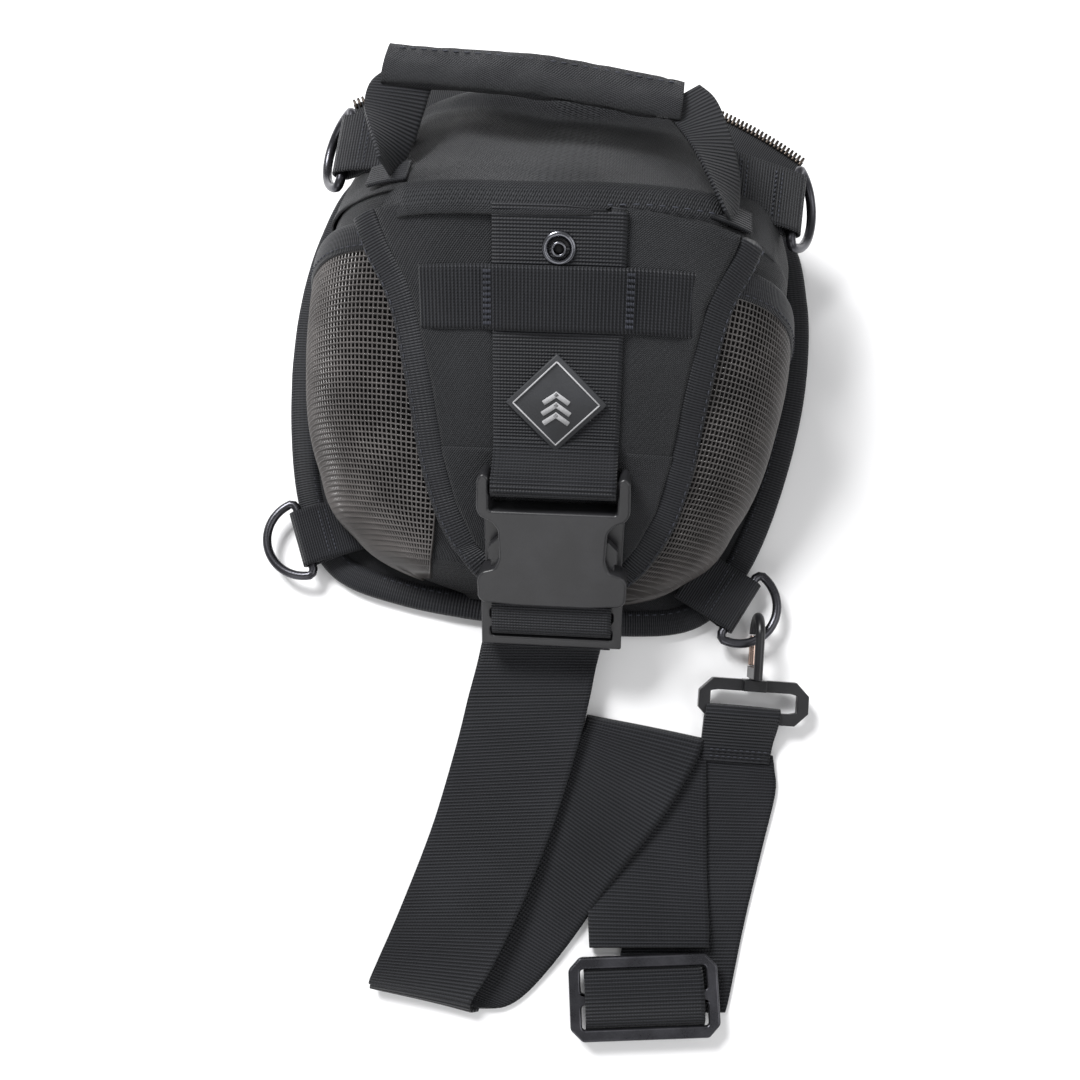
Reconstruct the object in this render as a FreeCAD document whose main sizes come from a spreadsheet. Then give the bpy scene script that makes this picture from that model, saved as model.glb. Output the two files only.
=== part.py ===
"""Carry pouch for a gas mask, with its lift-up flap, side-release buckle, carry handle,
D-rings, open zip and folded sling strap. Millimetres, +Z up from the surface it lies on,
+Y towards the handle, origin at the middle of the back panel."""

import FreeCAD, Part
import Sketcher
import math
import os
import re
from FreeCAD import Placement, Rotation, Vector

SIZES = {
    # bag
    "bag_width": 238, "bag_length": 222, "bag_depth": 119, "ridge_place": 34,
    "seam_flange": 8, "flange_base": 1.5, "flange_depth": 4, "wall": 4,
    "foot_height": 28, "brow_height": 72, "pad_inset": 14, "panel_split": 62,
    "binding_wrap": 1.2, "binding_width": 9, "stiffener": 2, "stiffener_inset": 26,
    "mesh_skin": 1.6,
    # open zip
    "zip_level": 58, "zip_gap": 5.4, "zip_radius": 190, "zip_apex": 121, "zip_half_angle": 31,
    "zip_tape": 28, "zip_thickness": 2.6, "mouth_width": 136,
    "slider_width": 12, "slider_length": 13, "slider_clear": 0.5, "slider_plate": 1.8,
    "pull_length": 24, "pull_width": 8, "pull_skin": 2.2, "pull_eye": 2.6, "bail_radius": 1.2, "bail_reach": 5,
    # flap
    "flap_length": 158, "flap_brow": 140, "flap_waist": 106, "flap_skew": 6,
    "flap_clear": 0.8, "flap_skin": 2.6, "flap_edge": 8, "flap_edge_skin": 1.2,
    "tip_start": 97, "webbing": 50, "webbing_skin": 1.8, "webbing_end": 116,
    "molle_place": 36, "molle_width": 25, "molle_length": 90, "molle_end": 10,
    "patch_half": 20, "patch_place": 77, "patch_skin": 2.4,
    "snap_place": 17, "snap_radius": 6.5, "snap_skin": 1.2, "snap_post": 2.9,
    "snap_bore": 1.9, "snap_height": 3.4,
    # buckle
    "buckle_place": 106, "socket_width": 60, "socket_length": 54, "socket_depth": 13,
    "socket_wall": 2.3, "socket_side": 4, "mouth_depth": 34, "window_length": 18,
    "window_place": 13, "notch_depth": 8, "slot_length": 5, "slot_inset": 3, "slot_width": 51,
    "frame_length": 21, "frame_rail": 4, "plug_depth": 6, "plug_width": 59,
    "tongue_width": 15, "tongue_length": 27, "buckle_clear": 0.6,
    "prong_width": 5.5, "catch_depth": 0.5, "catch_length": 10,
    "catch_play": 4.5, "tail_length": 31,
    # handle
    "handle_length": 114, "handle_width": 23, "handle_depth": 9, "handle_core": 3,
    "handle_shift": -11, "handle_reach": 52, "handle_root": 44,
    "handle_lean": 15, "leg_width": 25, "anchor_length": 14, "handle_clear": 1,
    # rings
    "ring_radius": 17, "ring_wire": 2, "loop_skin": 1.8, "loop_reach": 34, "loop_width": 25,
    "ring_clear": 0.4,
    # strap
    "strap_skin": 3.2, "strap_single": 1.6, "strap_clear": 0.4,
    "hook_ring_length": 48, "hook_ring_width": 19, "hook_ring_bar": 5, "hook_ring_skin": 4.4,
    "hem_width": 34, "hem_length": 16, "hook_inside": 6, "hook_wire": 2, "gate_length": 14,
    "hook_base": 5, "hook_stud": 2, "swivel_clear": 0.08, "hook_to_ring": 29,
    "glide_length": 34, "glide_width": 63, "glide_bar": 5, "glide_skin": 3,
}



def size_sheet(document):
    """A sheet of the driving dimensions, each with its name."""
    cells = document.addObject("Spreadsheet::Sheet", "Sizes")
    for row, (alias, length) in enumerate(SIZES.items(), 1):
        cells.set(f"A{row}", alias)
        cells.set(f"B{row}", str(length))
        cells.setAlias(f"B{row}", alias)
    document.recompute()
    return cells


reckoner = FreeCAD.newDocument("Reckoner")
scratch = size_sheet(reckoner)
doc = FreeCAD.newDocument("MaskPouch")
sheet = size_sheet(doc)


def tied(expression):
    """An expression with each dimension's name pointed at the sheet."""
    return re.sub("[a-z_]+", lambda word: "Sizes." + word.group(), expression)


def plane_of(body, role):
    """One origin plane of a body."""
    return next(f for f in body.Origin.OriginFeatures if f.Role == role)


def polygon(body, name, plane, offset, corners):
    """A closed polygon sketch whose corners are held by dimensions tied to the sheet."""
    sketch = body.newObject("Sketcher::SketchObject", name)
    sketch.AttachmentSupport = [(plane_of(body, plane), "")]
    sketch.MapMode = "FlatFace"
    sketch.setExpression("AttachmentOffset.Base.z", tied(offset))
    count = len(corners)
    ring = [Vector(math.cos(2 * math.pi * i / count), math.sin(2 * math.pi * i / count), 0)
            for i in range(count)]
    for i in range(count):
        sketch.addGeometry(Part.LineSegment(ring[i] * 50, ring[(i + 1) % count] * 50), False)
    for i in range(count):
        sketch.addConstraint(Sketcher.Constraint("Coincident", i, 2, (i + 1) % count, 1))
    for i, (across, along) in enumerate(corners):
        for kind, expression in (("DistanceX", across), ("DistanceY", along)):
            number = sketch.addConstraint(Sketcher.Constraint(kind, -1, 1, i, 1, 1.0))
            sketch.setExpression(f"Constraints[{number}]", tied(expression))
    return sketch


def mirrored(corners):
    """A whole outline from its right half, listed from the bottom up."""
    return corners + [(f"-({across})", along) for across, along in reversed(corners)]


def padded(label, corners, depth, base="0", holes=(), plane="XY_Plane", place=None):
    """A plate: one polygon padded to a depth, with polygon holes cut through it."""
    body = doc.addObject("PartDesign::Body", label)
    outline = polygon(body, label + "_outline", plane, base, corners)
    pad = body.newObject("PartDesign::Pad", label + "_pad")
    pad.Profile = outline
    pad.setExpression("Length", tied(depth))
    body.Tip = pad
    for i, hole in enumerate(holes):
        cut = polygon(body, f"{label}_hole{i}", plane, base, hole)
        pocket = body.newObject("PartDesign::Pocket", f"{label}_cut{i}")
        pocket.Profile = cut
        pocket.Reversed = True
        pocket.setExpression("Length", tied(depth))
        body.Tip = pocket
    body.Placement = place or Placement()
    return body


def box(label, low, extent, place=None):
    """A box with its low corner and its three lengths tied to the sheet."""
    solid = doc.addObject("Part::Box", label)
    for name, expression in zip(("Length", "Width", "Height"), extent):
        solid.setExpression(name, tied(expression))
    if place is None:
        for axis, expression in zip("xyz", low):
            solid.setExpression(f"Placement.Base.{axis}", tied(expression))
        return solid
    corner = Vector(*(worth(expression) for expression in low))
    solid.Placement = place * Placement(corner, Rotation())
    return solid


def worth(expression):
    """The value of a tied expression, worked out by the sheet."""
    scratch.set("D1", "=" + expression)
    reckoner.recompute()
    return float(scratch.get("D1"))


def rod(label, radius, length, start, along, place=None):
    """A round bar from a point, in a direction."""
    solid = doc.addObject("Part::Cylinder", label)
    solid.setExpression("Radius", tied(radius))
    solid.setExpression("Height", tied(length))
    point = Vector(*(worth(expression) for expression in start))
    turn = Rotation(Vector(0, 0, 1), Vector(*along))
    solid.Placement = (place or Placement()) * Placement(point, turn)
    return solid


def joined(label, solids):
    """One piece from overlapping solids."""
    whole = doc.addObject("Part::MultiFuse", label)
    whole.Shapes = solids
    whole.Refine = True
    return whole


def cut(label, base, tool):
    """A piece with another solid's shape taken out of it."""
    rest = doc.addObject("Part::Cut", label)
    rest.Base = base
    rest.Tool = tool
    return rest


def common(label, base, tool):
    """The stretch of a piece that lies inside another solid."""
    shared = doc.addObject("Part::Common", label)
    shared.Base = base
    shared.Tool = tool
    return shared


# ---------------------------------------------------------------- bag

PARTS = []


def keep(piece, label=None):
    """Marks a finished piece for export under its own name."""
    piece.Label = label or piece.Label
    PARTS.append(piece)
    return piece


def shield(inset):
    """The bag's outline from the front, right half from the bottom up, drawn in by an inset."""
    shares = [(0.21, -0.5), (0.35, -0.455), (0.425, -0.33), (0.475, -0.15), (0.5, 0.06),
              (0.485, 0.25), (0.43, 0.40), (0.25, 0.485)]
    half = []
    for across, along in shares:
        side = -1 if along < 0 else 1
        half.append((f"bag_width * {across} - ({inset}) * {2 * across:.3f}",
                     f"bag_length * {along} - ({inset}) * {2 * along:.3f}"))
    return mirrored(half)


FLANGE_TOP = "flange_base + flange_depth"

flange = padded("back_flange", shield("0"), "flange_depth", "flange_base")
back_pad = padded("back_pad", shield("pad_inset"), "flange_base + 1", "0")
back_panel = keep(joined("back_panel", [flange, back_pad]))

tape_out = padded("tape_out", shield("-binding_wrap"),
                  "flange_depth + 2 * binding_wrap", "flange_base - binding_wrap")
tape_in = padded("tape_in", shield("binding_width"),
                 "flange_depth + 4 * binding_wrap", "flange_base - 2 * binding_wrap")
tape_ring = cut("tape_ring", tape_out, tape_in)
tape_core = padded("tape_core", shield("0"), "flange_depth", "flange_base")
tape_channel = cut("tape_channel", tape_ring, tape_core)

# Cross-sections of the stuffed bag from foot to top: share of length, share of half width,
# and which of the two slopes gives the height there.
STATIONS = [(-0.445, 0.40, "front"), (-0.38, 0.68, "front"), (-0.27, 0.82, "front"),
            (-0.09, 0.91, "front"), (0.06, 0.925, "front"), (None, 0.90, "ridge"),
            (0.28, 0.86, "top"), (0.39, 0.74, "top"), (0.475, 0.48, "top")]
SHOULDER_DROP = 0.40
SHOULDER_DRAW = 0.11
CROWN_DRAW = 0.40


def station_height(along, slope):
    """Height of the stuffed bag at a cross-section."""
    foot = "(bag_length * 0.445 + ridge_place)"
    crown = "(bag_length * 0.475 - ridge_place)"
    if slope == "front":
        return f"foot_height + (bag_depth - foot_height) * (bag_length * {along} + bag_length * 0.445) / {foot}"
    if slope == "ridge":
        return "bag_depth"
    return f"brow_height + (bag_depth - brow_height) * (bag_length * 0.475 - bag_length * {along}) / {crown}"


def stuffed(label, inset, end_inset):
    """The stuffed bag as a loft through its cross-sections, drawn in by a wall."""
    body = doc.addObject("PartDesign::Body", label)
    sections = []
    for number, (along, across, slope) in enumerate(STATIONS):
        place = "ridge_place" if along is None else f"bag_length * {along}"
        if number == 0:
            place += f" + {end_inset}"
        if number == len(STATIONS) - 1:
            place += f" - {end_inset}"
        height = f"({station_height(along, slope)}) - ({inset}) * 1.2"
        wide = f"(bag_width / 2 - seam_flange) * {across} - ({inset})"
        low = FLANGE_TOP
        shoulder = f"({height}) * {1 - SHOULDER_DROP}"
        corners = mirrored([
            (wide, low),
            (f"({wide}) - ({height}) * {SHOULDER_DRAW}", shoulder),
            (f"({wide}) - ({height}) * {CROWN_DRAW}", height)])
        sections.append(polygon(body, f"{label}_section{number}", "XZ_Plane", f"-({place})", corners))
    loft = body.newObject("PartDesign::AdditiveLoft", label + "_loft")
    loft.Profile = sections[0]
    loft.Sections = sections[1:]
    loft.Ruled = True
    body.Tip = loft
    return body


FAR = 400
outer = stuffed("stuffed_outside", "0", "0")
inner = stuffed("stuffed_inside", "wall", "wall")
shell = cut("bag_shell", outer, inner)
edge_binding = keep(cut("edge_binding", tape_channel, outer))

mouth_low = "zip_level - zip_gap / 2"
mouth = box("mouth", ("-mouth_width / 2", "bag_length * 0.3", mouth_low),
            ("mouth_width", "bag_length", "zip_gap"))
shell = cut("open_shell", shell, mouth)


def region(label, low, high):
    """A box that marks out one cloth panel of the bag."""
    extent = [f"({top}) - ({bottom})" for bottom, top in zip(low, high)]
    return box(label, low, extent)


top_region = region("top_region", (str(-FAR), "ridge_place", "0"), (str(FAR), str(FAR), str(FAR)))
front_region = region("front_region", ("-panel_split", str(-FAR), "0"),
                      ("panel_split", "ridge_place", str(FAR)))
left_region = region("left_region", (str(-FAR), str(-FAR), "0"),
                     ("-panel_split", "ridge_place", str(FAR)))
right_region = region("right_region", ("panel_split", str(-FAR), "0"),
                      (str(FAR), "ridge_place", str(FAR)))
keep(common("front_panel", shell, front_region))
keep(common("side_panel_left", shell, left_region))
keep(common("side_panel_right", shell, right_region))
keep(common("top_panel", shell, top_region))

keep(padded("back_stiffener", shield("stiffener_inset"), "stiffener", FLANGE_TOP + " + 0.1"))

mesh_outside = stuffed("mesh_outside", "-mesh_skin", "-mesh_skin")
mesh_layer = cut("mesh_layer", mesh_outside, outer)
for side, sign in (("left", "-"), ("right", "")):
    corners = [(f"{sign}(panel_split + 6)", "-bag_length * 0.43"),
               (f"{sign}(bag_width * 0.5)", "-bag_length * 0.43"),
               (f"{sign}(bag_width * 0.5)", "bag_length * 0.0"),
               (f"{sign}(bag_width * 0.36)", "bag_length * 0.11"),
               (f"{sign}(panel_split + 6)", "bag_length * 0.11")]
    prism = padded(f"pocket_{side}_outline", corners, "bag_depth", FLANGE_TOP)
    keep(common(f"mesh_pocket_{side}", mesh_layer, prism))


# ---------------------------------------------------------------- open zip

ZIP_CENTRE = ("0", "zip_apex - zip_radius", "0")


def sector(label, radius, base, depth):
    """A flat disc sector about the zip's centre, as wide as the zip's travel."""
    disc = doc.addObject("Part::Cylinder", label)
    disc.setExpression("Radius", tied(radius))
    disc.setExpression("Height", tied(depth))
    disc.setExpression("Angle", tied("2 * zip_half_angle"))
    centre = Vector(0, worth("zip_apex - zip_radius"), worth(base))
    disc.Placement = Placement(centre, Rotation(Vector(0, 0, 1), 90 - worth("zip_half_angle")))
    return disc


for side, base in (("back", "zip_level - zip_gap / 2 - zip_thickness"),
                   ("front", "zip_level + zip_gap / 2")):
    strip = cut(f"zip_{side}_ring", sector(f"zip_{side}_disc", "zip_radius", base, "zip_thickness"),
                sector(f"zip_{side}_core", "zip_radius - zip_tape", base, "zip_thickness"))
    keep(cut(f"zip_row_{side}", strip, outer))

turn = Rotation(Vector(0, 0, 1), worth("zip_half_angle * 0.85"))
SLIDER = Placement(Vector(0, worth("zip_apex - zip_radius"), worth("zip_level")), turn)
slider_plate = box("slider_plate", ("-slider_length / 2", "zip_radius + slider_clear",
                                    "-slider_width / 2"),
                   ("slider_length", "slider_plate", "slider_width"), SLIDER)
slider_post = box("slider_post", ("-slider_length / 4", "zip_radius - slider_length / 2",
                                  "-zip_gap / 2 + slider_clear"),
                  ("slider_length / 2", "slider_length / 2 + slider_clear + slider_plate",
                   "zip_gap - 2 * slider_clear"), SLIDER)
bail_out = "zip_radius + slider_clear + slider_plate"
bail_rest = box("slider_bail_rest", ("-pull_width / 2", bail_out, "-bail_radius"),
                ("pull_width", "bail_reach", "2 * bail_radius"), SLIDER)
bail_gap = box("slider_bail_gap", ("-pull_width / 2 + 2 * bail_radius", bail_out,
                                   "-bail_radius"),
               ("pull_width - 4 * bail_radius", "bail_reach - 2 * bail_radius",
                "2 * bail_radius"), SLIDER)
bail = cut("slider_bail", bail_rest, bail_gap)
keep(joined("zip_slider", [slider_plate, slider_post, bail]))

PULL = SLIDER * Placement(Vector(0, worth(bail_out + " + bail_reach - bail_radius"), 0), Rotation())
eye = "bail_radius + slider_clear"
pull_tab = box("pull_tab", ("-pull_width / 4", "-pull_skin / 2", "-pull_length"),
               ("pull_width / 2", "pull_skin", f"pull_length - ({eye})"), PULL)
pull_eye = rod("pull_eye", "bail_radius + slider_clear / 2 + pull_skin / 2", "pull_eye",
               ("-pull_eye / 2", "0", "0"), (1, 0, 0), PULL)
pull_bore = rod("pull_bore", "bail_radius * 1.45", "pull_width", ("-pull_width / 2", "0", "0"),
                (1, 0, 0), PULL)
keep(cut("zip_pull", joined("pull_blank", [pull_tab, pull_eye]), pull_bore))

# ---------------------------------------------------------------- flap

SLOPE = math.degrees(math.atan2(worth("bag_depth - foot_height"),
                                worth("ridge_place + bag_length * 0.445")))
lean = Rotation(Vector(1, 0, 0), SLOPE)
lift = lean.multVec(Vector(0, 0, worth("flap_clear")))
FLAP = Placement(Vector(0, worth("ridge_place"), worth("bag_depth")) + lift,
                 lean * Rotation(Vector(0, 0, 1), worth("flap_skew")))

FLAP_TOP = "flap_skin"
WEB_TOP = "flap_skin + webbing_skin"


def flap_half(inset, top):
    """The flap's right edge from tip to brow, drawn in by an inset."""
    return [(f"14 - ({inset}) * 0.3", f"-flap_length + ({inset})"),
            (f"flap_waist * 0.33 - ({inset}) * 0.8", f"-flap_length * 0.86 + ({inset}) * 0.6"),
            (f"flap_waist * 0.46 - ({inset})", "-flap_length * 0.7"),
            (f"flap_waist * 0.48 - ({inset})", "-flap_length * 0.46"),
            (f"flap_waist * 0.52 - ({inset})", "-flap_length * 0.2"),
            (f"flap_brow / 2 - ({inset})", f"{top} - 7"),
            (f"flap_brow * 0.3 - ({inset})", top)]


flap_whole = padded("flap_whole", mirrored(flap_half("0", "0")), "flap_skin", place=FLAP)
upper = box("flap_upper", ("-flap_brow", "-tip_start", "-1"),
            ("2 * flap_brow", "flap_length", "flap_skin + 2"), FLAP)
keep(common("flap_panel", flap_whole, upper))
keep(cut("flap_tip_panel", flap_whole, upper))

edge_out = padded("edge_out", mirrored(flap_half("0", "0")), "flap_edge_skin", FLAP_TOP, place=FLAP)
edge_in = padded("edge_in", mirrored(flap_half("flap_edge", "flap_edge")), "flap_edge_skin",
                 FLAP_TOP, place=FLAP)
keep(cut("flap_binding", edge_out, edge_in))


def strip(label, half, low, high, base, depth, place=None):
    """A straight run of webbing, centred across."""
    return padded(label, mirrored([(half, low), (half, high)]), depth, base, place=place or FLAP)


keep(strip("center_webbing", "webbing / 2", "-webbing_end", "-2", FLAP_TOP, "webbing_skin"))
molle_low = "-molle_place - molle_width / 2"
molle_high = "-molle_place + molle_width / 2"
molle_band = strip("molle_band", "molle_length / 2", molle_low, molle_high, WEB_TOP + " + 0.1",
                   "webbing_skin")
molle_left = box("molle_left", ("-molle_length / 2", molle_low, FLAP_TOP),
                 ("molle_end", "molle_width", "2 * webbing_skin"), FLAP)
molle_right = box("molle_right", ("molle_length / 2 - molle_end", molle_low, FLAP_TOP),
                  ("molle_end", "molle_width", "2 * webbing_skin"), FLAP)
keep(joined("molle_webbing", [molle_band, molle_left, molle_right]))

diamond = [("patch_half", "-patch_place"), ("0", "-patch_place + patch_half"),
           ("-patch_half", "-patch_place"), ("0", "-patch_place - patch_half")]
keep(padded("rubber_patch", diamond, "patch_skin", WEB_TOP, place=FLAP))

snap_at = ("0", "-snap_place", WEB_TOP)
snap_disc = rod("snap_disc", "snap_radius", "snap_skin", snap_at, (0, 0, 1), FLAP)
keep(snap_disc, "snap_flange")
post_at = ("0", "-snap_place", WEB_TOP + " + snap_skin")
post_solid = rod("post_solid", "snap_post", "snap_height - snap_skin", post_at, (0, 0, 1), FLAP)
post_bore = rod("post_bore", "snap_bore", "snap_height", post_at, (0, 0, 1), FLAP)
keep(cut("snap_post", post_solid, post_bore))

# ---------------------------------------------------------------- buckle

SOCKET_BASE = "flap_skin + webbing_skin + 0.4"
SOCKET_FOOT = "-buckle_place - socket_length"


def block(label, half, low, high, base, top, place=None):
    """A block centred across the buckle, from one place to another along it."""
    return box(label, (f"-({half})", low, base),
               (f"2 * ({half})", f"({high}) - ({low})", f"({top}) - ({base})"), place or FLAP)


bulk = padded("socket_bulk", mirrored([
    ("socket_width / 2 - 3", SOCKET_FOOT), ("socket_width / 2 - 1", SOCKET_FOOT + " + 4"),
    ("socket_width / 2 - 1.5", SOCKET_FOOT + " + socket_length * 0.35"),
    ("socket_width / 2", "-buckle_place - 6"), ("socket_width / 2 - 3", "-buckle_place")]),
    "socket_depth", SOCKET_BASE, place=FLAP)
hollow = block("socket_hollow", "socket_width / 2 - socket_side", SOCKET_FOOT + " - 1",
               SOCKET_FOOT + " + mouth_depth", SOCKET_BASE + " + socket_wall",
               SOCKET_BASE + " + socket_depth - socket_wall")
windows = block("socket_windows", "socket_width", SOCKET_FOOT + " + window_place",
                SOCKET_FOOT + " + window_place + window_length",
                SOCKET_BASE + " + socket_wall", SOCKET_BASE + " + socket_depth - socket_wall")
slot = block("socket_slot", "slot_width / 2", "-buckle_place - slot_inset - slot_length",
             "-buckle_place - slot_inset", SOCKET_BASE + " - 1", SOCKET_BASE + " + socket_depth + 1")
notches = [box(f"socket_notch_{side}", (start, SOCKET_FOOT + " + window_place",
                                        SOCKET_BASE + " + socket_wall"),
               ("notch_depth + 1", "window_length", "socket_depth"), FLAP)
           for side, start in (("left", "-socket_width / 2 - 1"),
                               ("right", "socket_width / 2 - notch_depth"))]
keep(cut("buckle_socket", bulk, joined("socket_cuts", [hollow, windows, slot] + notches)))

PLUG_LOW = "flap_skin + webbing_skin + 0.4 + socket_depth / 2 - plug_depth / 2"
PLUG_HIGH = PLUG_LOW + " + plug_depth"
FRAME_TOP = SOCKET_FOOT + " - buckle_clear"
FRAME_FOOT = FRAME_TOP + " - frame_length"
slot_span = "(frame_length - 3 * frame_rail) / 2"
frame_bulk = block("frame_bulk", "plug_width / 2", FRAME_FOOT, FRAME_TOP, PLUG_LOW, PLUG_HIGH)
frame_slots = joined("frame_slots", [
    block("frame_slot_upper", "slot_width / 2", f"{FRAME_TOP} - frame_rail - {slot_span}",
          FRAME_TOP + " - frame_rail", PLUG_LOW + " - 1", PLUG_HIGH + " + 1"),
    block("frame_slot_lower", "slot_width / 2", FRAME_FOOT + " + frame_rail",
          f"{FRAME_FOOT} + frame_rail + {slot_span}", PLUG_LOW + " - 1", PLUG_HIGH + " + 1")])
tongue = block("plug_tongue", "tongue_width / 2", FRAME_TOP + " - 1", FRAME_TOP + " + tongue_length",
               PLUG_LOW, PLUG_HIGH)
keep(joined("buckle_plug", [cut("plug_frame", frame_bulk, frame_slots), tongue]))

bar_top = f"{FRAME_TOP} - frame_rail - {slot_span}"
bar_foot = f"{FRAME_FOOT} + frame_rail + {slot_span}"
loop_bulk = block("loop_bulk", "webbing / 2", bar_foot + " - webbing_skin",
                  bar_top + " + webbing_skin", PLUG_LOW + " - webbing_skin",
                  PLUG_HIGH + " + webbing_skin")
loop_bar = block("loop_bar", "webbing", bar_foot, bar_top, PLUG_LOW, PLUG_HIGH)
keep(cut("strap_loop", loop_bulk, loop_bar))
tail_top = PLUG_LOW + " - strap_clear"
keep(block("strap_tail", "webbing / 2", f"{FRAME_FOOT} - tail_length",
           bar_foot + " - webbing_skin", tail_top + " - strap_skin", tail_top))

PRONG_OUT = "socket_width / 2 - socket_side - buckle_clear"
for side, sign in (("left", -1), ("right", 1)):
    inside = f"({PRONG_OUT} - prong_width)"
    catch_foot = f"{SOCKET_FOOT} + window_place + catch_play"
    points = [(inside, FRAME_TOP + " + 1.5"), (PRONG_OUT, FRAME_TOP + " + 1.5"),
              (PRONG_OUT, catch_foot),
              ("socket_width / 2 - socket_side + catch_depth", catch_foot),
              ("socket_width / 2 - socket_side + catch_depth", catch_foot + " + catch_length * 0.6"),
              (PRONG_OUT + " - prong_width / 2", catch_foot + " + catch_length"),
              (inside, catch_foot + " + catch_length")]
    if sign < 0:
        points = [(f"-({across})", along) for across, along in reversed(points)]
    keep(padded(f"prong_{side}", points, "plug_depth - 2 * buckle_clear",
                PLUG_LOW + " + buckle_clear", place=FLAP))

# ---------------------------------------------------------------- handle

root = Vector(worth("handle_shift"), worth("handle_root"), worth("bag_depth"))
HANDLE = Placement(root, Rotation(Vector(1, 0, 0), -worth("handle_lean")))
core_low = "-handle_core / 2"
legs = mirrored([("handle_length / 2", "handle_clear"), ("handle_length / 2", "handle_reach - 2")])
between = mirrored([("handle_length / 2 - leg_width", "0"),
                    ("handle_length / 2 - leg_width", "handle_reach - handle_width + 2")])
keep(padded("handle_webbing", legs, "handle_core", core_low, [between], place=HANDLE))
sleeve = block("sleeve_bulk", "handle_length / 2 + 1", "handle_reach - handle_width",
               "handle_reach", "-handle_depth / 2", "handle_depth / 2", HANDLE)
sleeve_core = padded("sleeve_core", legs, "handle_core", core_low, [between], place=HANDLE)
keep(cut("handle_sleeve", sleeve, sleeve_core))

top_slope = -math.degrees(math.atan2(worth("bag_depth - brow_height"),
                                     worth("bag_length * 0.475 - ridge_place")))
ANCHOR = Placement(Vector(worth("handle_shift"), worth("ridge_place"), worth("bag_depth")),
                   Rotation(Vector(1, 0, 0), top_slope))
for side, place in (("left", "-handle_length / 2"), ("right", "handle_length / 2 - leg_width")):
    keep(box(f"handle_anchor_{side}", (place, "2", "0"),
             ("leg_width", "anchor_length", "webbing_skin"), ANCHOR))

# ---------------------------------------------------------------- rings

RINGS = {}


def tie_ring(name, point, facing, droop, hang, bag):
    """A D-ring and the webbing loop that holds its bar, trimmed where it meets the bag."""
    turn = Rotation(Vector(0, 0, 1), facing) * Rotation(Vector(0, 1, 0), droop)
    frame = Placement(point, turn)
    hung = frame * Placement(Vector(0, 0, 0), Rotation(Vector(0, 1, 0), hang))
    RINGS[name] = hung
    bow = doc.addObject("Part::Torus", f"{name}_bow")
    bow.setExpression("Radius1", tied("ring_radius"))
    bow.setExpression("Radius2", tied("ring_wire"))
    bow.Angle3 = 180
    bow.Placement = hung * Placement(Vector(0, 0, 0), Rotation(Vector(0, 0, 1), -90))
    bar = rod(f"{name}_bar", "ring_wire", "2 * ring_radius", ("0", "-ring_radius", "0"),
              (0, 1, 0), frame)
    solids = [bow, bar]
    for end in ("-ring_radius", "ring_radius"):
        ball = doc.addObject("Part::Sphere", f"{name}_corner")
        ball.setExpression("Radius", tied("ring_wire"))
        ball.Placement = frame * Placement(Vector(0, worth(end), 0), Rotation())
        solids.append(ball)
    keep(joined(f"dring_{name}", solids))
    sheath = rod(f"{name}_sheath", "ring_wire + ring_clear + loop_skin", "loop_width",
                 ("0", "-loop_width / 2", "0"), (0, 1, 0), frame)
    strap = box(f"{name}_strap", ("-loop_reach", "-loop_width / 2", "-loop_skin"),
                ("loop_reach", "loop_width", "2 * loop_skin"), frame)
    bore = rod(f"{name}_bore", "ring_wire + ring_clear", "2 * loop_width",
               ("0", "-loop_width", "0"), (0, 1, 0), frame)
    looped = cut(f"{name}_looped", joined(f"{name}_blank", [sheath, strap]), bore)
    clear_of_seam = cut(f"{name}_clear", looped, tape_out)
    keep(cut(f"dring_loop_{name}", clear_of_seam, bag))


tie_ring("upper_right", Vector(93, 65, 77), 0, 22, 32, outer)
tie_ring("upper_left", Vector(-93, 65, 77), 180, 22, 32, outer)
tie_ring("lower_left", Vector(-97, -89, 9), 205, 0, 0, mesh_outside)
tie_ring("lower_right", Vector(99, -92, 9), -25, 0, 0, mesh_outside)

# ---------------------------------------------------------------- snap hook

JAW = Vector(108, -104.5, 12.2)
HOOK = Placement(JAW, Rotation(Vector(0, 0, 1), 4) * Rotation(Vector(1, 0, 0), 8)
                 * Rotation(Vector(0, 1, 0), 90))
wire_off = "hook_inside + hook_wire"
nose = doc.addObject("Part::Torus", "hook_nose")
nose.setExpression("Radius1", tied(wire_off))
nose.setExpression("Radius2", tied("hook_wire"))
nose.Angle3 = 180
nose.Placement = HOOK
spine = rod("hook_spine", "hook_wire", "gate_length + hook_base",
            (f"-({wire_off})", "-gate_length - hook_base", "0"), (0, 1, 0), HOOK)
hook_foot = box("hook_foot", (f"-({wire_off})", "-gate_length - hook_base", "-hook_wire"),
                (f"2 * ({wire_off})", "hook_base", "2 * hook_wire"), HOOK)
RING_TOP = "-hook_to_ring + hook_ring_width / 2"
stud = rod("hook_stud_rod", "hook_stud", f"-({RING_TOP}) + hook_ring_bar - 0.5 - gate_length",
           ("0", f"{RING_TOP} - hook_ring_bar + 0.5", "0"), (0, 1, 0), HOOK)
keep(joined("hook_body", [nose, spine, hook_foot, stud]))
keep(rod("hook_gate", "hook_wire * 0.9", "gate_length - 0.8", (wire_off, "-gate_length + 0.3", "0"),
         (0, 1, 0), HOOK))

RING_PLANE = HOOK * Placement(Vector(0, 0, 0), Rotation(Vector(0, 1, 0), -90))
ring_mid = "-hook_to_ring"
half_long = "hook_ring_length / 2"
half_wide = "hook_ring_width / 2"


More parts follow.
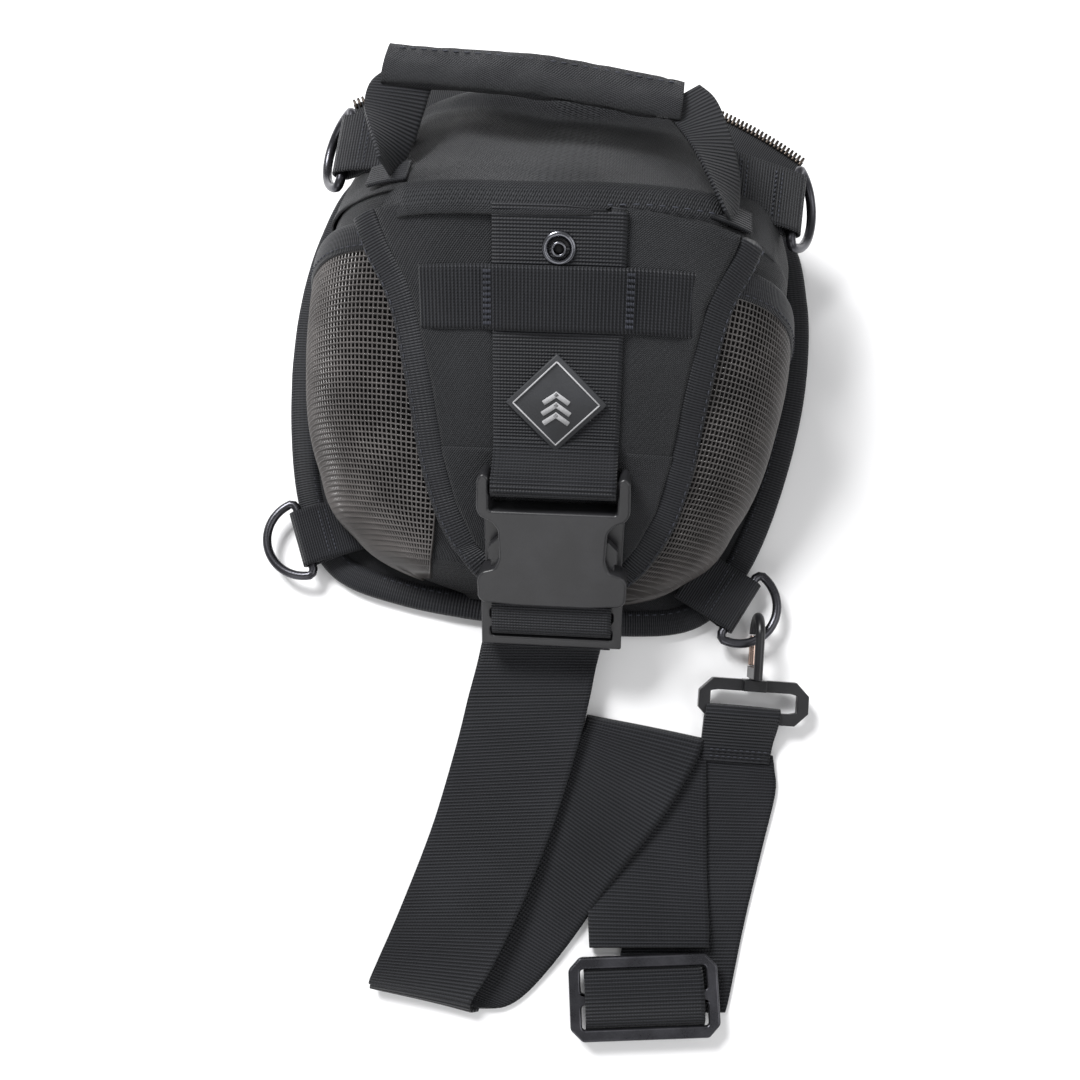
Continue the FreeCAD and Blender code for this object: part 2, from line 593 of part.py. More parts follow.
def oval(inset):
    """The hook ring's outline, drawn in by a wall."""
    return mirrored([
        (f"{half_long} - hook_ring_width * 0.3 - ({inset}) * 0.5", f"{ring_mid} - {half_wide} + ({inset})"),
        (f"{half_long} - ({inset})", f"{ring_mid} - {half_wide} * 0.4"),
        (f"{half_long} - ({inset})", f"{ring_mid} + {half_wide} * 0.4"),
        (f"{half_long} - hook_ring_width * 0.3 - ({inset}) * 0.5", f"{ring_mid} + {half_wide} - ({inset})")])


ring_bulk = padded("ring_bulk", oval("0"), "hook_ring_skin", "-hook_ring_skin / 2",
                   [oval("hook_ring_bar")], place=RING_PLANE)
ring_boss = block("ring_boss", "5", f"{RING_TOP} - hook_ring_bar", RING_TOP,
                  "-hook_ring_skin", "hook_ring_skin", RING_PLANE)
ring_bore = rod("ring_bore", "hook_stud + swivel_clear", "hook_ring_width",
                ("0", f"{RING_TOP} - hook_ring_bar", "0"), (0, 1, 0), HOOK)
keep(cut("hook_ring", joined("ring_blank", [ring_bulk, ring_boss]), ring_bore))

RING_FOOT = "-hook_to_ring - hook_ring_width / 2"
hem_bulk = block("hem_bulk", "hem_width / 2", f"{RING_FOOT} - hem_length",
                 f"{RING_FOOT} + hook_ring_bar + strap_clear + strap_single",
                 "-hook_ring_skin / 2 - strap_clear - strap_single",
                 "hook_ring_skin / 2 + strap_clear + strap_single", RING_PLANE)
hem_hole = block("hem_hole", "hem_width", f"{RING_FOOT} - strap_clear",
                 f"{RING_FOOT} + hook_ring_bar + strap_clear",
                 "-hook_ring_skin / 2 - strap_clear", "hook_ring_skin / 2 + strap_clear",
                 RING_PLANE)
keep(cut("strap_hem", hem_bulk, hem_hole))

# ---------------------------------------------------------------- strap on the surface


def band(label, start, end, skin):
    """A straight run of strap between two points of the middle of its underside."""
    along = end - start
    solid = doc.addObject("Part::Box", label)
    solid.Length = along.Length
    solid.setExpression("Width", tied("webbing"))
    solid.setExpression("Height", tied(skin))
    yaw = math.degrees(math.atan2(along.y, along.x))
    pitch = -math.degrees(math.asin(along.z / along.Length))
    turn = Rotation(Vector(0, 0, 1), yaw) * Rotation(Vector(0, 1, 0), pitch)
    solid.Placement = (Placement(start, turn)
                       * Placement(Vector(0, -worth("webbing / 2"), 0), Rotation()))
    return solid


def fold(label, middle, facing, radius):
    """The round back of a fold, closed, with its round side facing out."""
    solid = doc.addObject("Part::Cylinder", label)
    solid.Radius = radius
    solid.setExpression("Height", tied("webbing"))
    solid.Angle = 180
    turn = Rotation(Vector(0, 0, 1), facing) * Rotation(Vector(1, 0, 0), 90)
    solid.Placement = (Placement(middle, turn)
                       * Placement(Vector(0, 0, -worth("webbing / 2")),
                                   Rotation(Vector(0, 0, 1), -90)))
    return solid


skin = worth("strap_skin")
tail_end = FLAP.multVec(Vector(0, worth(f"{FRAME_FOOT} - tail_length"),
                               worth(tail_top + " - strap_skin")))
RUN_START = tail_end + Vector(0.2, -12.2, -1.6)
FOLD_LOW = Vector(-11, -266, 0)
FOLD_HIGH = Vector(65, -157, 0)
GLIDE = Vector(78, -262, 0)
level = {"third": 2.4, "second_top": 2.4 + skin + 0.4, "second_foot": 0.6,
         "first_foot": 0.6 + skin + 3.2}
runs = [
    band("run_first", RUN_START, FOLD_LOW + Vector(0, 0, level["first_foot"]), "strap_skin"),
    fold("fold_low", FOLD_LOW + Vector(2, 0, (level["first_foot"] + level["second_foot"] + skin) / 2),
         -109, (level["first_foot"] + skin - level["second_foot"]) / 2),
    band("run_second", FOLD_LOW + Vector(8, 3, level["second_foot"]),
         FOLD_HIGH + Vector(0, 0, level["second_top"]), "strap_skin"),
    fold("fold_high", FOLD_HIGH + Vector(1.3, 0.2, level["second_top"] - 0.1), 72, skin),
    band("run_third", FOLD_HIGH + Vector(0, -3, level["third"]),
         GLIDE + Vector(-1, 6, level["third"]), "strap_skin"),
]
keep(joined("strap_run", runs))
hem_foot = RING_PLANE.multVec(Vector(0, worth(f"{RING_FOOT} - hem_length - 4"), 0))
single = band("single_band", Vector(hem_foot.x, hem_foot.y, 0.2),
              GLIDE + Vector(8, -6, 0.2), "strap_single")
keep(single, "strap_single_run")

# ---------------------------------------------------------------- strap slider

glide_turn = Rotation(Vector(0, 0, 1), 10)
glide_level = level["third"] + skin + 0.5
GLIDE_FRAME = Placement(Vector(GLIDE.x, GLIDE.y, glide_level), glide_turn)
half_glide = "glide_length / 2"


def glide_window(low, high):
    """One window of the strap slider."""
    return mirrored([("glide_width / 2 - glide_bar", low), ("glide_width / 2 - glide_bar", high)])


glide_outline = mirrored([("glide_width / 2 - 5", f"-{half_glide}"),
                          ("glide_width / 2", f"-{half_glide} + 5"),
                          ("glide_width / 2", f"{half_glide} - 5"),
                          ("glide_width / 2 - 5", half_glide)])
keep(padded("strap_glide", glide_outline, "glide_skin", "0",
            [glide_window(f"-{half_glide} + glide_bar", "-glide_bar / 2"),
             glide_window("glide_bar / 2", f"{half_glide} - glide_bar")], place=GLIDE_FRAME))
wrap = "glide_bar / 2 + strap_single"
glide_wrap = block("wrap_bulk", "webbing / 2", f"-({wrap})", wrap, "-0.4", "glide_skin + strap_single",
                   GLIDE_FRAME)
glide_bar = block("wrap_bar", "webbing", "-glide_bar / 2", "glide_bar / 2", "-1", "glide_skin",
                  GLIDE_FRAME)
keep(cut("strap_glide_loop", glide_wrap, glide_bar))

if __name__ == "__main__":
    doc.recompute()
    os.makedirs("parts", exist_ok=True)
    for piece in doc.Objects:
        if "Invalid" in piece.State or "Error" in piece.State:
            raise ValueError(f"{piece.Label} failed")
    for piece in PARTS:
        if piece.Shape.isNull() or not piece.Shape.isValid():
            raise ValueError(f"{piece.Label} has no valid shape")
        piece.Shape.exportStep(f"parts/{piece.Label}.step")
        print(piece.Label, len(piece.Shape.Solids), round(piece.Shape.Volume))
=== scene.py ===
"""Looks of the mask carry pouch: cloth, webbing, mesh, buckle, rings and strap around the fixed frame."""
import bisect
import math

import bmesh
import bpy
import numpy as np
from mathutils import Matrix, Vector, noise


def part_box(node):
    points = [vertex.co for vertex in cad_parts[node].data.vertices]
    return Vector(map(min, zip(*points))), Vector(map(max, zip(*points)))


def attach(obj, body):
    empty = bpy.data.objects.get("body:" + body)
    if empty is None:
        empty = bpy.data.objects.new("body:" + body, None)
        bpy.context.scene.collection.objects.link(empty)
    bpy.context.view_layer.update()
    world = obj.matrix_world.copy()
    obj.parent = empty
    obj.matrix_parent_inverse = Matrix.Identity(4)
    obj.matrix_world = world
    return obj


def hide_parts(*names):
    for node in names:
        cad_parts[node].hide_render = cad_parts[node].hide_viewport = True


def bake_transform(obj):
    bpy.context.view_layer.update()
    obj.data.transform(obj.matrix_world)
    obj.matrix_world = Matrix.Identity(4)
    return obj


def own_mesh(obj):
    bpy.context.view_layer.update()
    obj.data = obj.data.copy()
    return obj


bl_info = {
    "name": "Mask Pouch Looks",
    "version": (1, 0, 0),
    "blender": (4, 5, 0),
    "location": "3D View > Sidebar > Pouch",
    "description": "Builds the cloth, webbing and hardware of a mask carry pouch",
    "category": "Add Mesh",
}

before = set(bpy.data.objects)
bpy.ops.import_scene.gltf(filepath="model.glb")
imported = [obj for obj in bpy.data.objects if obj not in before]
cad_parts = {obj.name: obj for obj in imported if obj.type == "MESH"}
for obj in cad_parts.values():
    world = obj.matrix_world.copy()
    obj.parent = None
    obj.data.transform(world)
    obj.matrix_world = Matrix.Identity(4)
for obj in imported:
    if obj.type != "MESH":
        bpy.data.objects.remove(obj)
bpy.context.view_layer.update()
MM = 0.001
RIDGE = Vector((0.0, 34.0, 119.0)) * MM
SLOPE = math.atan2(91.0, 132.8)
SKEW = math.radians(6.0)
# Cross-sections of the stuffed bag: place along it, half width and height, in millimetres.
STATIONS = np.array([
    (-104.0, 20.0, 9.0), (-98.8, 45.0, 25.0), (-84.4, 73.0, 38.0), (-59.9, 88.5, 54.7),
    (-20.0, 98.5, 82.0), (13.3, 100.5, 104.8), (34.0, 98.5, 118.6), (62.2, 95.0, 100.5),
    (86.6, 83.0, 84.4), (102.0, 57.0, 73.0), (106.5, 38.0, 52.0)])
CROWN = 3.3
HALF_WEBBING = 25.0
PLACES = STATIONS[:, 0].tolist()
CREST = PLACES.index(34.0)


def station_curve(column):
    """Values and the slopes either side of each cross-section; the ridge keeps its crease in height."""
    values = STATIONS[:, column]
    smooth = np.gradient(values, STATIONS[:, 0])
    before, after = smooth.copy(), smooth.copy()
    if column == 2:
        steps = np.diff(values) / np.diff(STATIONS[:, 0])
        before[CREST], after[CREST] = steps[CREST - 1], steps[CREST]
    return values.tolist(), before.tolist(), after.tolist()


CURVES = {1: station_curve(1), 2: station_curve(2)}


def along_table(y, column):
    """A value between the cross-sections, on a smooth curve through them."""
    values, before, after = CURVES[column]
    y = min(max(y, PLACES[0]), PLACES[-1])
    i = min(bisect.bisect_right(PLACES, y) - 1, len(PLACES) - 2)
    gap = PLACES[i + 1] - PLACES[i]
    t = (y - PLACES[i]) / gap
    rise = values[i] * (1 + 2 * t) * (1 - t) ** 2 + values[i + 1] * t * t * (3 - 2 * t)
    return rise + gap * (after[i] * t * (1 - t) ** 2 - before[i + 1] * t * t * (1 - t))


def girth(y, turn, swell=0.0):
    """A point of the bag's cloth in metres: y in millimetres, turn from -1 to 1 over the crown."""
    wide = along_table(y, 1) + swell
    high = along_table(y, 2) - 5.5 + swell
    angle = math.pi / 2 * (1 - turn)
    side = math.copysign(abs(math.cos(angle)) ** (2 / CROWN), math.cos(angle))
    return Vector((wide * side, y, 5.5 + high * abs(math.sin(angle)) ** (2 / CROWN))) * MM


def bag_height(x, y):
    """Height of the bag's cloth over a point of the plan, all in millimetres."""
    share = min(abs(x) / along_table(y, 1), 0.985)
    return 5.5 + (along_table(y, 2) - 5.5) * (1 - share ** CROWN) ** (1 / CROWN)


def on_bag(x, y, lift):
    """A point lifted off the bag's cloth along its normal, in metres from millimetres."""
    step = 0.5
    slope_x = (bag_height(x + step, y) - bag_height(x - step, y)) / (2 * step)
    slope_y = (bag_height(x, y + step) - bag_height(x, y - step)) / (2 * step)
    normal = Vector((-slope_x, -slope_y, 1)).normalized()
    return (Vector((x, y, bag_height(x, y))) + normal * lift) * MM


def on_flap(across, down, lift):
    """A point of the flap's layers: across and down its own skewed middle line, in millimetres."""
    x = across * math.cos(SKEW) + down * math.sin(SKEW)
    y = across * math.sin(SKEW) - down * math.cos(SKEW)
    return on_bag(x, min(33.3, 34.0 + y * math.cos(SLOPE)), lift)


FLAP_FRAME = (Matrix.Translation(RIDGE) @ Matrix.Rotation(SLOPE, 4, "X")
              @ Matrix.Translation((0, 0, 0.8 * MM)) @ Matrix.Rotation(SKEW, 4, "Z"))


# ---------------------------------------------------------------- mesh helpers


def settle(obj, modifiers=()):
    """Adds modifiers and applies them to the object's mesh."""
    for kind, settings in modifiers:
        modifier = obj.modifiers.new(kind.title(), kind)
        for name, value in settings.items():
            setattr(modifier, name, value)
    shown = bpy.context.evaluated_depsgraph_get()
    bpy.context.view_layer.update()
    mesh = bpy.data.meshes.new_from_object(obj.evaluated_get(shown))
    obj.modifiers.clear()
    obj.data = mesh
    return obj


def to_object(name, bm, smooth=True):
    """A bmesh as a linked object with outward faces."""
    bmesh.ops.recalc_face_normals(bm, faces=bm.faces)
    mesh = bpy.data.meshes.new(name)
    bm.to_mesh(mesh)
    bm.free()
    for face in mesh.polygons:
        face.use_smooth = smooth
    obj = bpy.data.objects.new(name, mesh)
    bpy.context.scene.collection.objects.link(obj)
    return obj


def cloth(name, rows, columns, place, size, thick, offset=1.0, subdivide=0, closed=False):
    """A sheet laid by a function of two shares, with its weave's coordinates in metres."""
    bm = bmesh.new()
    uv = bm.loops.layers.uv.new("Weave")
    bmesh.ops.create_grid(bm, x_segments=columns, y_segments=rows, size=1.0)
    for face in bm.faces:
        for loop in face.loops:
            share = (loop.vert.co.xy + Vector((1, 1))) / 2
            loop[uv].uv = (share.x * size[0], share.y * size[1])
    for vert in bm.verts:
        share = (vert.co.xy + Vector((1, 1))) / 2
        vert.co = place(share.x, share.y)
    if closed:
        bmesh.ops.remove_doubles(bm, verts=bm.verts, dist=1e-6)
    obj = to_object(name, bm)
    steps = []
    if thick:
        steps.append(("SOLIDIFY", {"thickness": thick, "offset": offset, "use_even_offset": False}))
    if subdivide:
        steps.append(("SUBSURF", {"levels": subdivide, "render_levels": subdivide}))
    return settle(obj, steps)


def route(points, count):
    """Evenly spaced points on a smooth curve through a few, in metres from millimetres."""
    ends = [points[0]] + list(points) + [points[-1]]
    fine = []
    for a, b, c, d in zip(ends, ends[1:], ends[2:], ends[3:]):
        a, b, c, d = (np.array(p, float) for p in (a, b, c, d))
        for t in np.linspace(0, 1, 12, endpoint=False):
            fine.append(0.5 * (2 * b + (c - a) * t + (2 * a - 5 * b + 4 * c - d) * t * t
                               + (3 * b - a - 3 * c + d) * t ** 3))
    fine = np.array(fine + [np.array(points[-1], float)])
    gaps = np.linalg.norm(np.diff(fine[:, :3], axis=0), axis=1)
    walked = np.concatenate([[0], np.cumsum(gaps)])
    at = np.linspace(0, walked[-1], count)
    return np.stack([np.interp(at, walked, fine[:, k]) for k in range(fine.shape[1])], axis=1)


def sample(line, share):
    """A row of a line at a share of the way along it."""
    at = min(max(share, 0.0), 1.0) * (len(line) - 1)
    i = min(int(at), len(line) - 2)
    return line[i] * (1 - at + i) + line[i + 1] * (at - i)


def rope(name, points, radius, sides=10, closed=False):
    """A round bar or wire along points in metres."""
    curve = bpy.data.curves.new(name, "CURVE")
    curve.dimensions = "3D"
    curve.bevel_depth = radius
    curve.bevel_resolution = max(1, sides // 4)
    curve.use_fill_caps = not closed
    spline = curve.splines.new("POLY")
    spline.points.add(len(points) - 1)
    for point, co in zip(spline.points, points):
        point.co = (*co, 1)
    spline.use_cyclic_u = closed
    obj = bpy.data.objects.new(name, curve)
    bpy.context.scene.collection.objects.link(obj)
    bpy.context.view_layer.update()
    mesh = bpy.data.meshes.new_from_object(obj.evaluated_get(bpy.context.evaluated_depsgraph_get()))
    bpy.data.objects.remove(obj)
    for face in mesh.polygons:
        face.use_smooth = True
    made = bpy.data.objects.new(name, mesh)
    bpy.context.scene.collection.objects.link(made)
    return made


def block(bm, low, high, matrix=Matrix.Identity(4), bevel=0.0, segments=2):
    """A box between two corners in millimetres, its edges rounded, added to a bmesh."""
    low, high = Vector(low) * MM, Vector(high) * MM
    scale = Matrix.Diagonal((*(high - low), 1))
    made = bmesh.ops.create_cube(bm, size=1.0, matrix=Matrix.Translation((low + high) / 2) @ scale)
    verts = made["verts"]
    if bevel:
        edges = list({edge for vert in verts for edge in vert.link_edges})
        cut = bmesh.ops.bevel(bm, geom=edges, offset=bevel * MM, segments=segments, profile=0.5,
                              affect="EDGES", material=-1)
        verts = list({vert for face in cut["faces"] for vert in face.verts} | set(
            vert for vert in verts if vert.is_valid))
    bmesh.ops.transform(bm, matrix=matrix, verts=verts)
    return verts


def stitches(name, lines, spacing=3.2, length=2.2, radius=0.28):
    """Rows of thread stitches along lines of points and normals, in metres."""
    bm = bmesh.new()
    for points in lines:
        points = np.array([tuple(p) for p in points])
        gaps = np.linalg.norm(np.diff(points, axis=0), axis=1)
        walked = np.concatenate([[0], np.cumsum(gaps)])
        for start in np.arange(spacing * MM / 2, walked[-1] - length * MM, spacing * MM):
            ends = [Vector([np.interp(start + reach, walked, points[:, k]) for k in range(3)])
                    for reach in (0, length * MM)]
            run = ends[1] - ends[0]
            turn = run.to_track_quat("Z", "X").to_matrix().to_4x4()
            place = Matrix.Translation((ends[0] + ends[1]) / 2) @ turn
            grow = Matrix.Diagonal((radius * MM, radius * MM, run.length / 2, 1))
            bmesh.ops.create_icosphere(bm, subdivisions=1, radius=1.0, matrix=place @ grow)
    return to_object(name, bm)


def dress(obj, body, finish, nodes=()):
    """Gives a piece its body, its material and the plain nodes that it stands for."""
    obj.data.materials.clear()
    obj.data.materials.append(finish)
    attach(obj, body)
    if nodes:
        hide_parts(*nodes)
    return obj


# ---------------------------------------------------------------- finishes


class Flow:
    """A node socket whose arithmetic adds Math nodes to its material."""

    def __init__(self, socket):
        self.socket = socket
        self.tree = socket.id_data

    def node(self, kind, settings=None, inputs=None, output=0):
        """Adds a node: its settings first, then the values or links of its sockets."""
        made = self.tree.nodes.new("ShaderNode" + kind)
        for name, value in (settings or {}).items():
            setattr(made, name, value)
        for key, value in (inputs or {}).items():
            if isinstance(value, Flow):
                self.tree.links.new(value.socket, made.inputs[key])
            else:
                made.inputs[key].default_value = value
        return Flow(made.outputs[output])

    def math(self, operation, *values):
        return self.node("Math", {"operation": operation}, dict(enumerate(values)))

    def __add__(self, other):
        return self.math("ADD", self, other)

    __radd__ = __add__

    def __sub__(self, other):
        return self.math("SUBTRACT", self, other)

    def __rsub__(self, other):
        return self.math("SUBTRACT", other, self)

    def __mul__(self, other):
        return self.math("MULTIPLY", self, other)

    __rmul__ = __mul__

    def wave(self, pitch):
        """A smooth ridge every pitch, from 0 to 1."""
        return self.math("SINE", self * (2 * math.pi / pitch)) * 0.5 + 0.5

    def step(self, low, high):
        """0 below low, 1 above high and smooth between."""
        return self.node("MapRange", {"interpolation_type": "SMOOTHSTEP"},
                         {"Value": self, "From Min": low, "From Max": high})

    def noise(self, scale, detail=3.0):
        """Cloudy noise on this position, about 0.5."""
        return self.node("TexNoise", {}, {"Vector": self, "Scale": scale, "Detail": detail}, "Fac")

    def blend(self, low, high):
        """A colour between two, by this value."""
        return self.node("Mix", {"data_type": "RGBA"}, {"Factor": self, "A": low, "B": high}, 2)

    def part(self, axis):
        """One coordinate of a position."""
        return self.node("SeparateXYZ", {}, {"Vector": self}, axis)


def linear(tint):
    """A colour from its screen values, 0 to 255."""
    return [((v / 255 + 0.055) / 1.055) ** 2.4 if v > 10 else v / 3294.6 for v in tint] + [1.0]


class Finish:
    """One material and the sockets that its recipe reads and feeds."""

    def __init__(self, name, roughness=0.6, metallic=0.0, sheen=0.0, coat=0.0, specular=0.5):
        self.material = bpy.data.materials.new(name)
        self.material.use_nodes = True
        self.tree = self.material.node_tree
        self.shader = self.tree.nodes["Principled BSDF"]
        values = {"Roughness": roughness, "Metallic": metallic, "Sheen Weight": sheen,
                  "Sheen Roughness": 0.45, "Coat Weight": coat, "Specular IOR Level": specular}
        for socket, value in values.items():
            self.shader.inputs[socket].default_value = value
        spot = self.tree.nodes.new("ShaderNodeTexCoord")
        self.place = Flow(spot.outputs["Object"])
        weave = self.tree.nodes.new("ShaderNodeUVMap")
        weave.uv_map = "Weave"
        self.weave = Flow(weave.outputs[0])

    def feed(self, socket, flow):
        """Links a value to the shader."""
        self.tree.links.new(flow.socket, self.shader.inputs[socket])

    def relief(self, height, depth, strength=1.0):
        """Raises the surface by a height of 0 to 1, depth in metres."""
        bump = height.node("Bump", {}, {"Height": height, "Distance": depth, "Strength": strength})
        self.feed("Normal", bump)
        return self


def woven(name, tint, pitch, tone_and_shade_spread=14, folds=0.0):
    """Plain-woven cloth: threads over and under, faded in clouds, softly creased; its colour is darker
    between the raised threads as painted shade.
    """
    made = Finish(name, roughness=0.8, sheen=0.06, specular=0.18)
    across = made.weave.part(0).math("SINE", made.weave.part(0) * (math.pi / pitch))
    along = made.weave.part(1).math("SINE", made.weave.part(1) * (math.pi / pitch))
    over = (across * along).step(-0.3, 0.3)
    height = over * across.math("ABSOLUTE", across) + (1 - over) * along.math("ABSOLUTE", along)
    twill = (made.weave.part(0) + made.weave.part(1)).wave(pitch * 1.35)
    height = height * 0.45 + twill * 0.55
    cloud = made.place.noise(22.0, 4.0)
    speck = made.place.noise(900.0, 2.0)
    # Base colour: random clouds and specks, plus painted shade from the weave's height: raised threads
    # lighter, the hollows between them darker.
    cloud_and_weave_shade = (cloud * 0.45 + speck * 0.2 + height * 0.5).step(0.3, 0.95)
    light = [min(255, v + 1.5 * tone_and_shade_spread) for v in tint]
    dark = [max(0, v - tone_and_shade_spread) for v in tint]
    made.feed("Base Color", cloud_and_weave_shade.blend(linear(dark), linear(light)))
    made.feed("Roughness", cloud * 0.25 + 0.5)
    made.relief(height + made.place.noise(70.0, 3.0) * folds, 0.0006)
    return made.material


def ribbed(name, tint, pitch, along=True, tone_and_shade_spread=20, gloss=0.45, depth=0.0006):
    """Webbing or grosgrain: ribs across its length, each broken into twisted threads; its colour is darker
    in the grooves between ribs as painted shade.
    """
    made = Finish(name, roughness=0.75, sheen=0.06, specular=0.22)
    run, cross = (made.weave.part(1), made.weave.part(0)) if along else (
        made.weave.part(0), made.weave.part(1))
    rib = run.wave(pitch)
    twist = (cross + rib * (pitch * 0.25)).wave(pitch * 0.85)
    height = rib * 0.8 + twist * 0.2
    cloud = made.place.noise(30.0, 4.0)
    # Base colour: random clouds, plus painted shade from the rib height: rib crests lighter, the grooves
    # between them darker.
    cloud_and_weave_shade = (height * 0.7 + cloud * 0.5 - 0.1).step(0.1, 1.0)
    light = [min(255, v + tone_and_shade_spread) for v in tint]
    dark = [max(0, v - tone_and_shade_spread) for v in tint]
    made.feed("Base Color", cloud_and_weave_shade.blend(linear(dark), linear(light)))
    made.feed("Roughness", cloud * 0.2 + gloss)
    return made.relief(height, depth).material


def moulded(name, tint, rough=0.38, coat=0.0, metallic=0.0, grain=1400.0, scuff=0.12, specular=0.5):
    """Moulded plastic, rubber or plated metal with fine grain and rubbed patches."""
    made = Finish(name, metallic=metallic, coat=coat, specular=specular)
    cloud = made.place.noise(60.0, 4.0)
    grit = made.place.noise(grain, 2.0)
    light = [min(255, v * 1.25 + 6) for v in tint]
    made.feed("Base Color", (cloud * 0.8 + grit * 0.2).step(0.35, 0.75).blend(linear(tint), linear(light)))
    made.feed("Roughness", cloud * scuff + grit * 0.06 + (rough - scuff / 2))
    return made.relief(grit, 0.00006, 0.6).material


FABRIC = (30, 31, 34)
WEBBING = (25, 26, 30)
FINISHES = {}


def make_finishes():
    """Every material of the pouch, by the name of its slot."""
    FINISHES.update({
        "pouch_fabric": woven("pouch_fabric", FABRIC, 0.8 * MM, 17, 1.2),
        "webbing": ribbed("webbing", WEBBING, 1.45 * MM),
        "webbing_upright": ribbed("webbing_upright", WEBBING, 1.4 * MM, along=False),
        "binding_tape": ribbed("binding_tape", (27, 28, 32), 1.1 * MM, depth=0.0003),
        "coated_mesh": moulded("coated_mesh", (66, 63, 62), 0.32, 0.2, grain=2500.0, scuff=0.2),
        "mesh_backing": woven("mesh_backing", (30, 28, 28), 1.1 * MM, 10),
        "zip_tape": ribbed("zip_tape", (28, 29, 32), 0.9 * MM, depth=0.0002),
        "zip_metal": moulded("zip_metal", (58, 52, 47), 0.3, metallic=0.8, scuff=0.15),
        "patch_rubber": moulded("patch_rubber", (36, 37, 40), 0.6, scuff=0.15),
        "patch_print": moulded("patch_print", (150, 150, 152), 0.6, scuff=0.1),
        "snap_nickel": moulded("snap_nickel", (96, 97, 102), 0.2, metallic=1.0, scuff=0.12),
        "buckle_plastic": moulded("buckle_plastic", (30, 30, 32), 0.36, scuff=0.14),
        "hook_black": moulded("hook_black", (26, 26, 28), 0.3, metallic=0.3, scuff=0.15),
        "gate_metal": moulded("gate_metal", (158, 138, 128), 0.22, metallic=1.0, scuff=0.15),
        "gunmetal": moulded("gunmetal", (62, 62, 66), 0.26, metallic=0.9, scuff=0.16),
        "stiffener_sheet": moulded("stiffener_sheet", (70, 70, 70), 0.6),
        "thread": moulded("thread", (40, 42, 50), 0.7, grain=3000.0),
        "shadow": moulded("shadow", (16, 16, 18), 0.8),
    })


def rounded_copy(name, node, radius, segments=3, angle=28.0):
    """A fixed part's shape with its edges rounded off."""
    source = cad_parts[node]
    bm = bmesh.new()
    bm.from_mesh(source.data)
    bmesh.ops.transform(bm, matrix=source.matrix_world, verts=bm.verts)
    bmesh.ops.remove_doubles(bm, verts=bm.verts, dist=2e-5)
    bmesh.ops.dissolve_limit(bm, angle_limit=math.radians(3), verts=bm.verts, edges=bm.edges)
    bmesh.ops.recalc_face_normals(bm, faces=bm.faces)
    obj = to_object(name, bm)
    steps = [("BEVEL", {"width": radius * MM, "segments": segments, "limit_method": "ANGLE",
                        "angle_limit": math.radians(angle), "harden_normals": False,
                        "use_clamp_overlap": True, "miter_outer": "MITER_ARC"}),
             ("WEIGHTED_NORMAL", {"keep_sharp": False})]
    return settle(obj, steps)


# ---------------------------------------------------------------- pouch body


def outline(turn):
    """A point of the bag's edge, in millimetres, by the share of the way round."""
    ring = np.array(EDGE)
    place = (turn % 1.0) * len(ring)
    i = int(place)
    t = place - i
    a, b, c, d = (ring[(i + k) % len(ring)] for k in (-1, 0, 1, 2))
    return Vector(0.5 * (2 * b + (c - a) * t + (2 * a - 5 * b + 4 * c - d) * t * t
                         + (3 * b - a - 3 * c + d) * t ** 3))


HALF_EDGE = [(50, -111), (83, -102), (101.5, -75), (113, -33), (118, 13), (114.5, 55),
             (101, 88), (60, 107)]
EDGE = [(x, y) for x, y in HALF_EDGE] + [(0, 108.5)] + [
    (-x, y) for x, y in reversed(HALF_EDGE)] + [(0, -113)]


def outline_frame(turn, inset, level):
    """Place, outward and upward directions at the bag's edge, in metres."""
    step = 0.002
    run = (outline(turn + step) - outline(turn - step)).normalized()
    out = Vector((run.y, -run.x, 0))
    spot = outline(turn)
    return (Vector((spot.x, spot.y, level)) - out * inset) * MM, out, Vector((0, 0, 1))


def folded_tape(name, count, frame_at, half_wide, half_thick, length, closed=False, sides=20,
                square=2.8):
    """A tape folded over an edge: a flat oval section carried along a line of frames."""
    def place(u, v):
        middle, across, normal = frame_at(v)
        angle = 2 * math.pi * u
        c, s = math.cos(angle), math.sin(angle)
        wide = math.copysign(abs(c) ** (2 / square), c) * half_wide * MM
        high = math.copysign(abs(s) ** (2 / square), s) * half_thick * MM
        return middle + across * wide + normal * high
    made = cloth(name, count, sides, place, (4 * half_wide * MM, length), 0, closed=True)
    if not closed:
        bm = bmesh.new()
        bm.from_mesh(made.data)
        bmesh.ops.holes_fill(bm, edges=[e for e in bm.edges if e.is_boundary], sides=0)
        bmesh.ops.recalc_face_normals(bm, faces=bm.faces)
        bm.to_mesh(made.data)
        bm.free()
    return made


def ripple(spot, size, amount, seed=0.0):
    """A soft unevenness of cloth, in metres."""
    return noise.noise(spot / (size * MM) + Vector((seed, 3.7 * seed, -seed))) * amount * MM


def bag_cloth(name, y_range, turn_of, rows, columns, lift=0.0, thick=1.0, uneven=1.0, seed=1.0,
              wide=0.2):
    """A panel of the bag's cloth between two lines of turn, gently uneven."""
    low, high = y_range

    def place(u, v):
        y = low + (high - low) * v
        first, last = turn_of(y)
        turn = first + (last - first) * u
        spot = girth(y, turn, lift)
        out = (spot - Vector((0, spot.y, 30 * MM))).normalized()
        return spot + out * (ripple(spot, 30, uneven, seed) + ripple(spot, 12, uneven * 0.3, seed))
    return cloth(name, rows, columns, place, (wide, abs(high - low) * MM * 1.2), thick * MM,
                 offset=-1.0)


def turn_at(x, y):
    """The turn round the bag at which its cloth stands over x, in millimetres."""
    share = min(abs(x) / along_table(y, 1), 0.9999)
    return math.copysign(1 - 2 * math.acos(share ** (CROWN / 2)) / math.pi, x)


SPLIT = 62.0


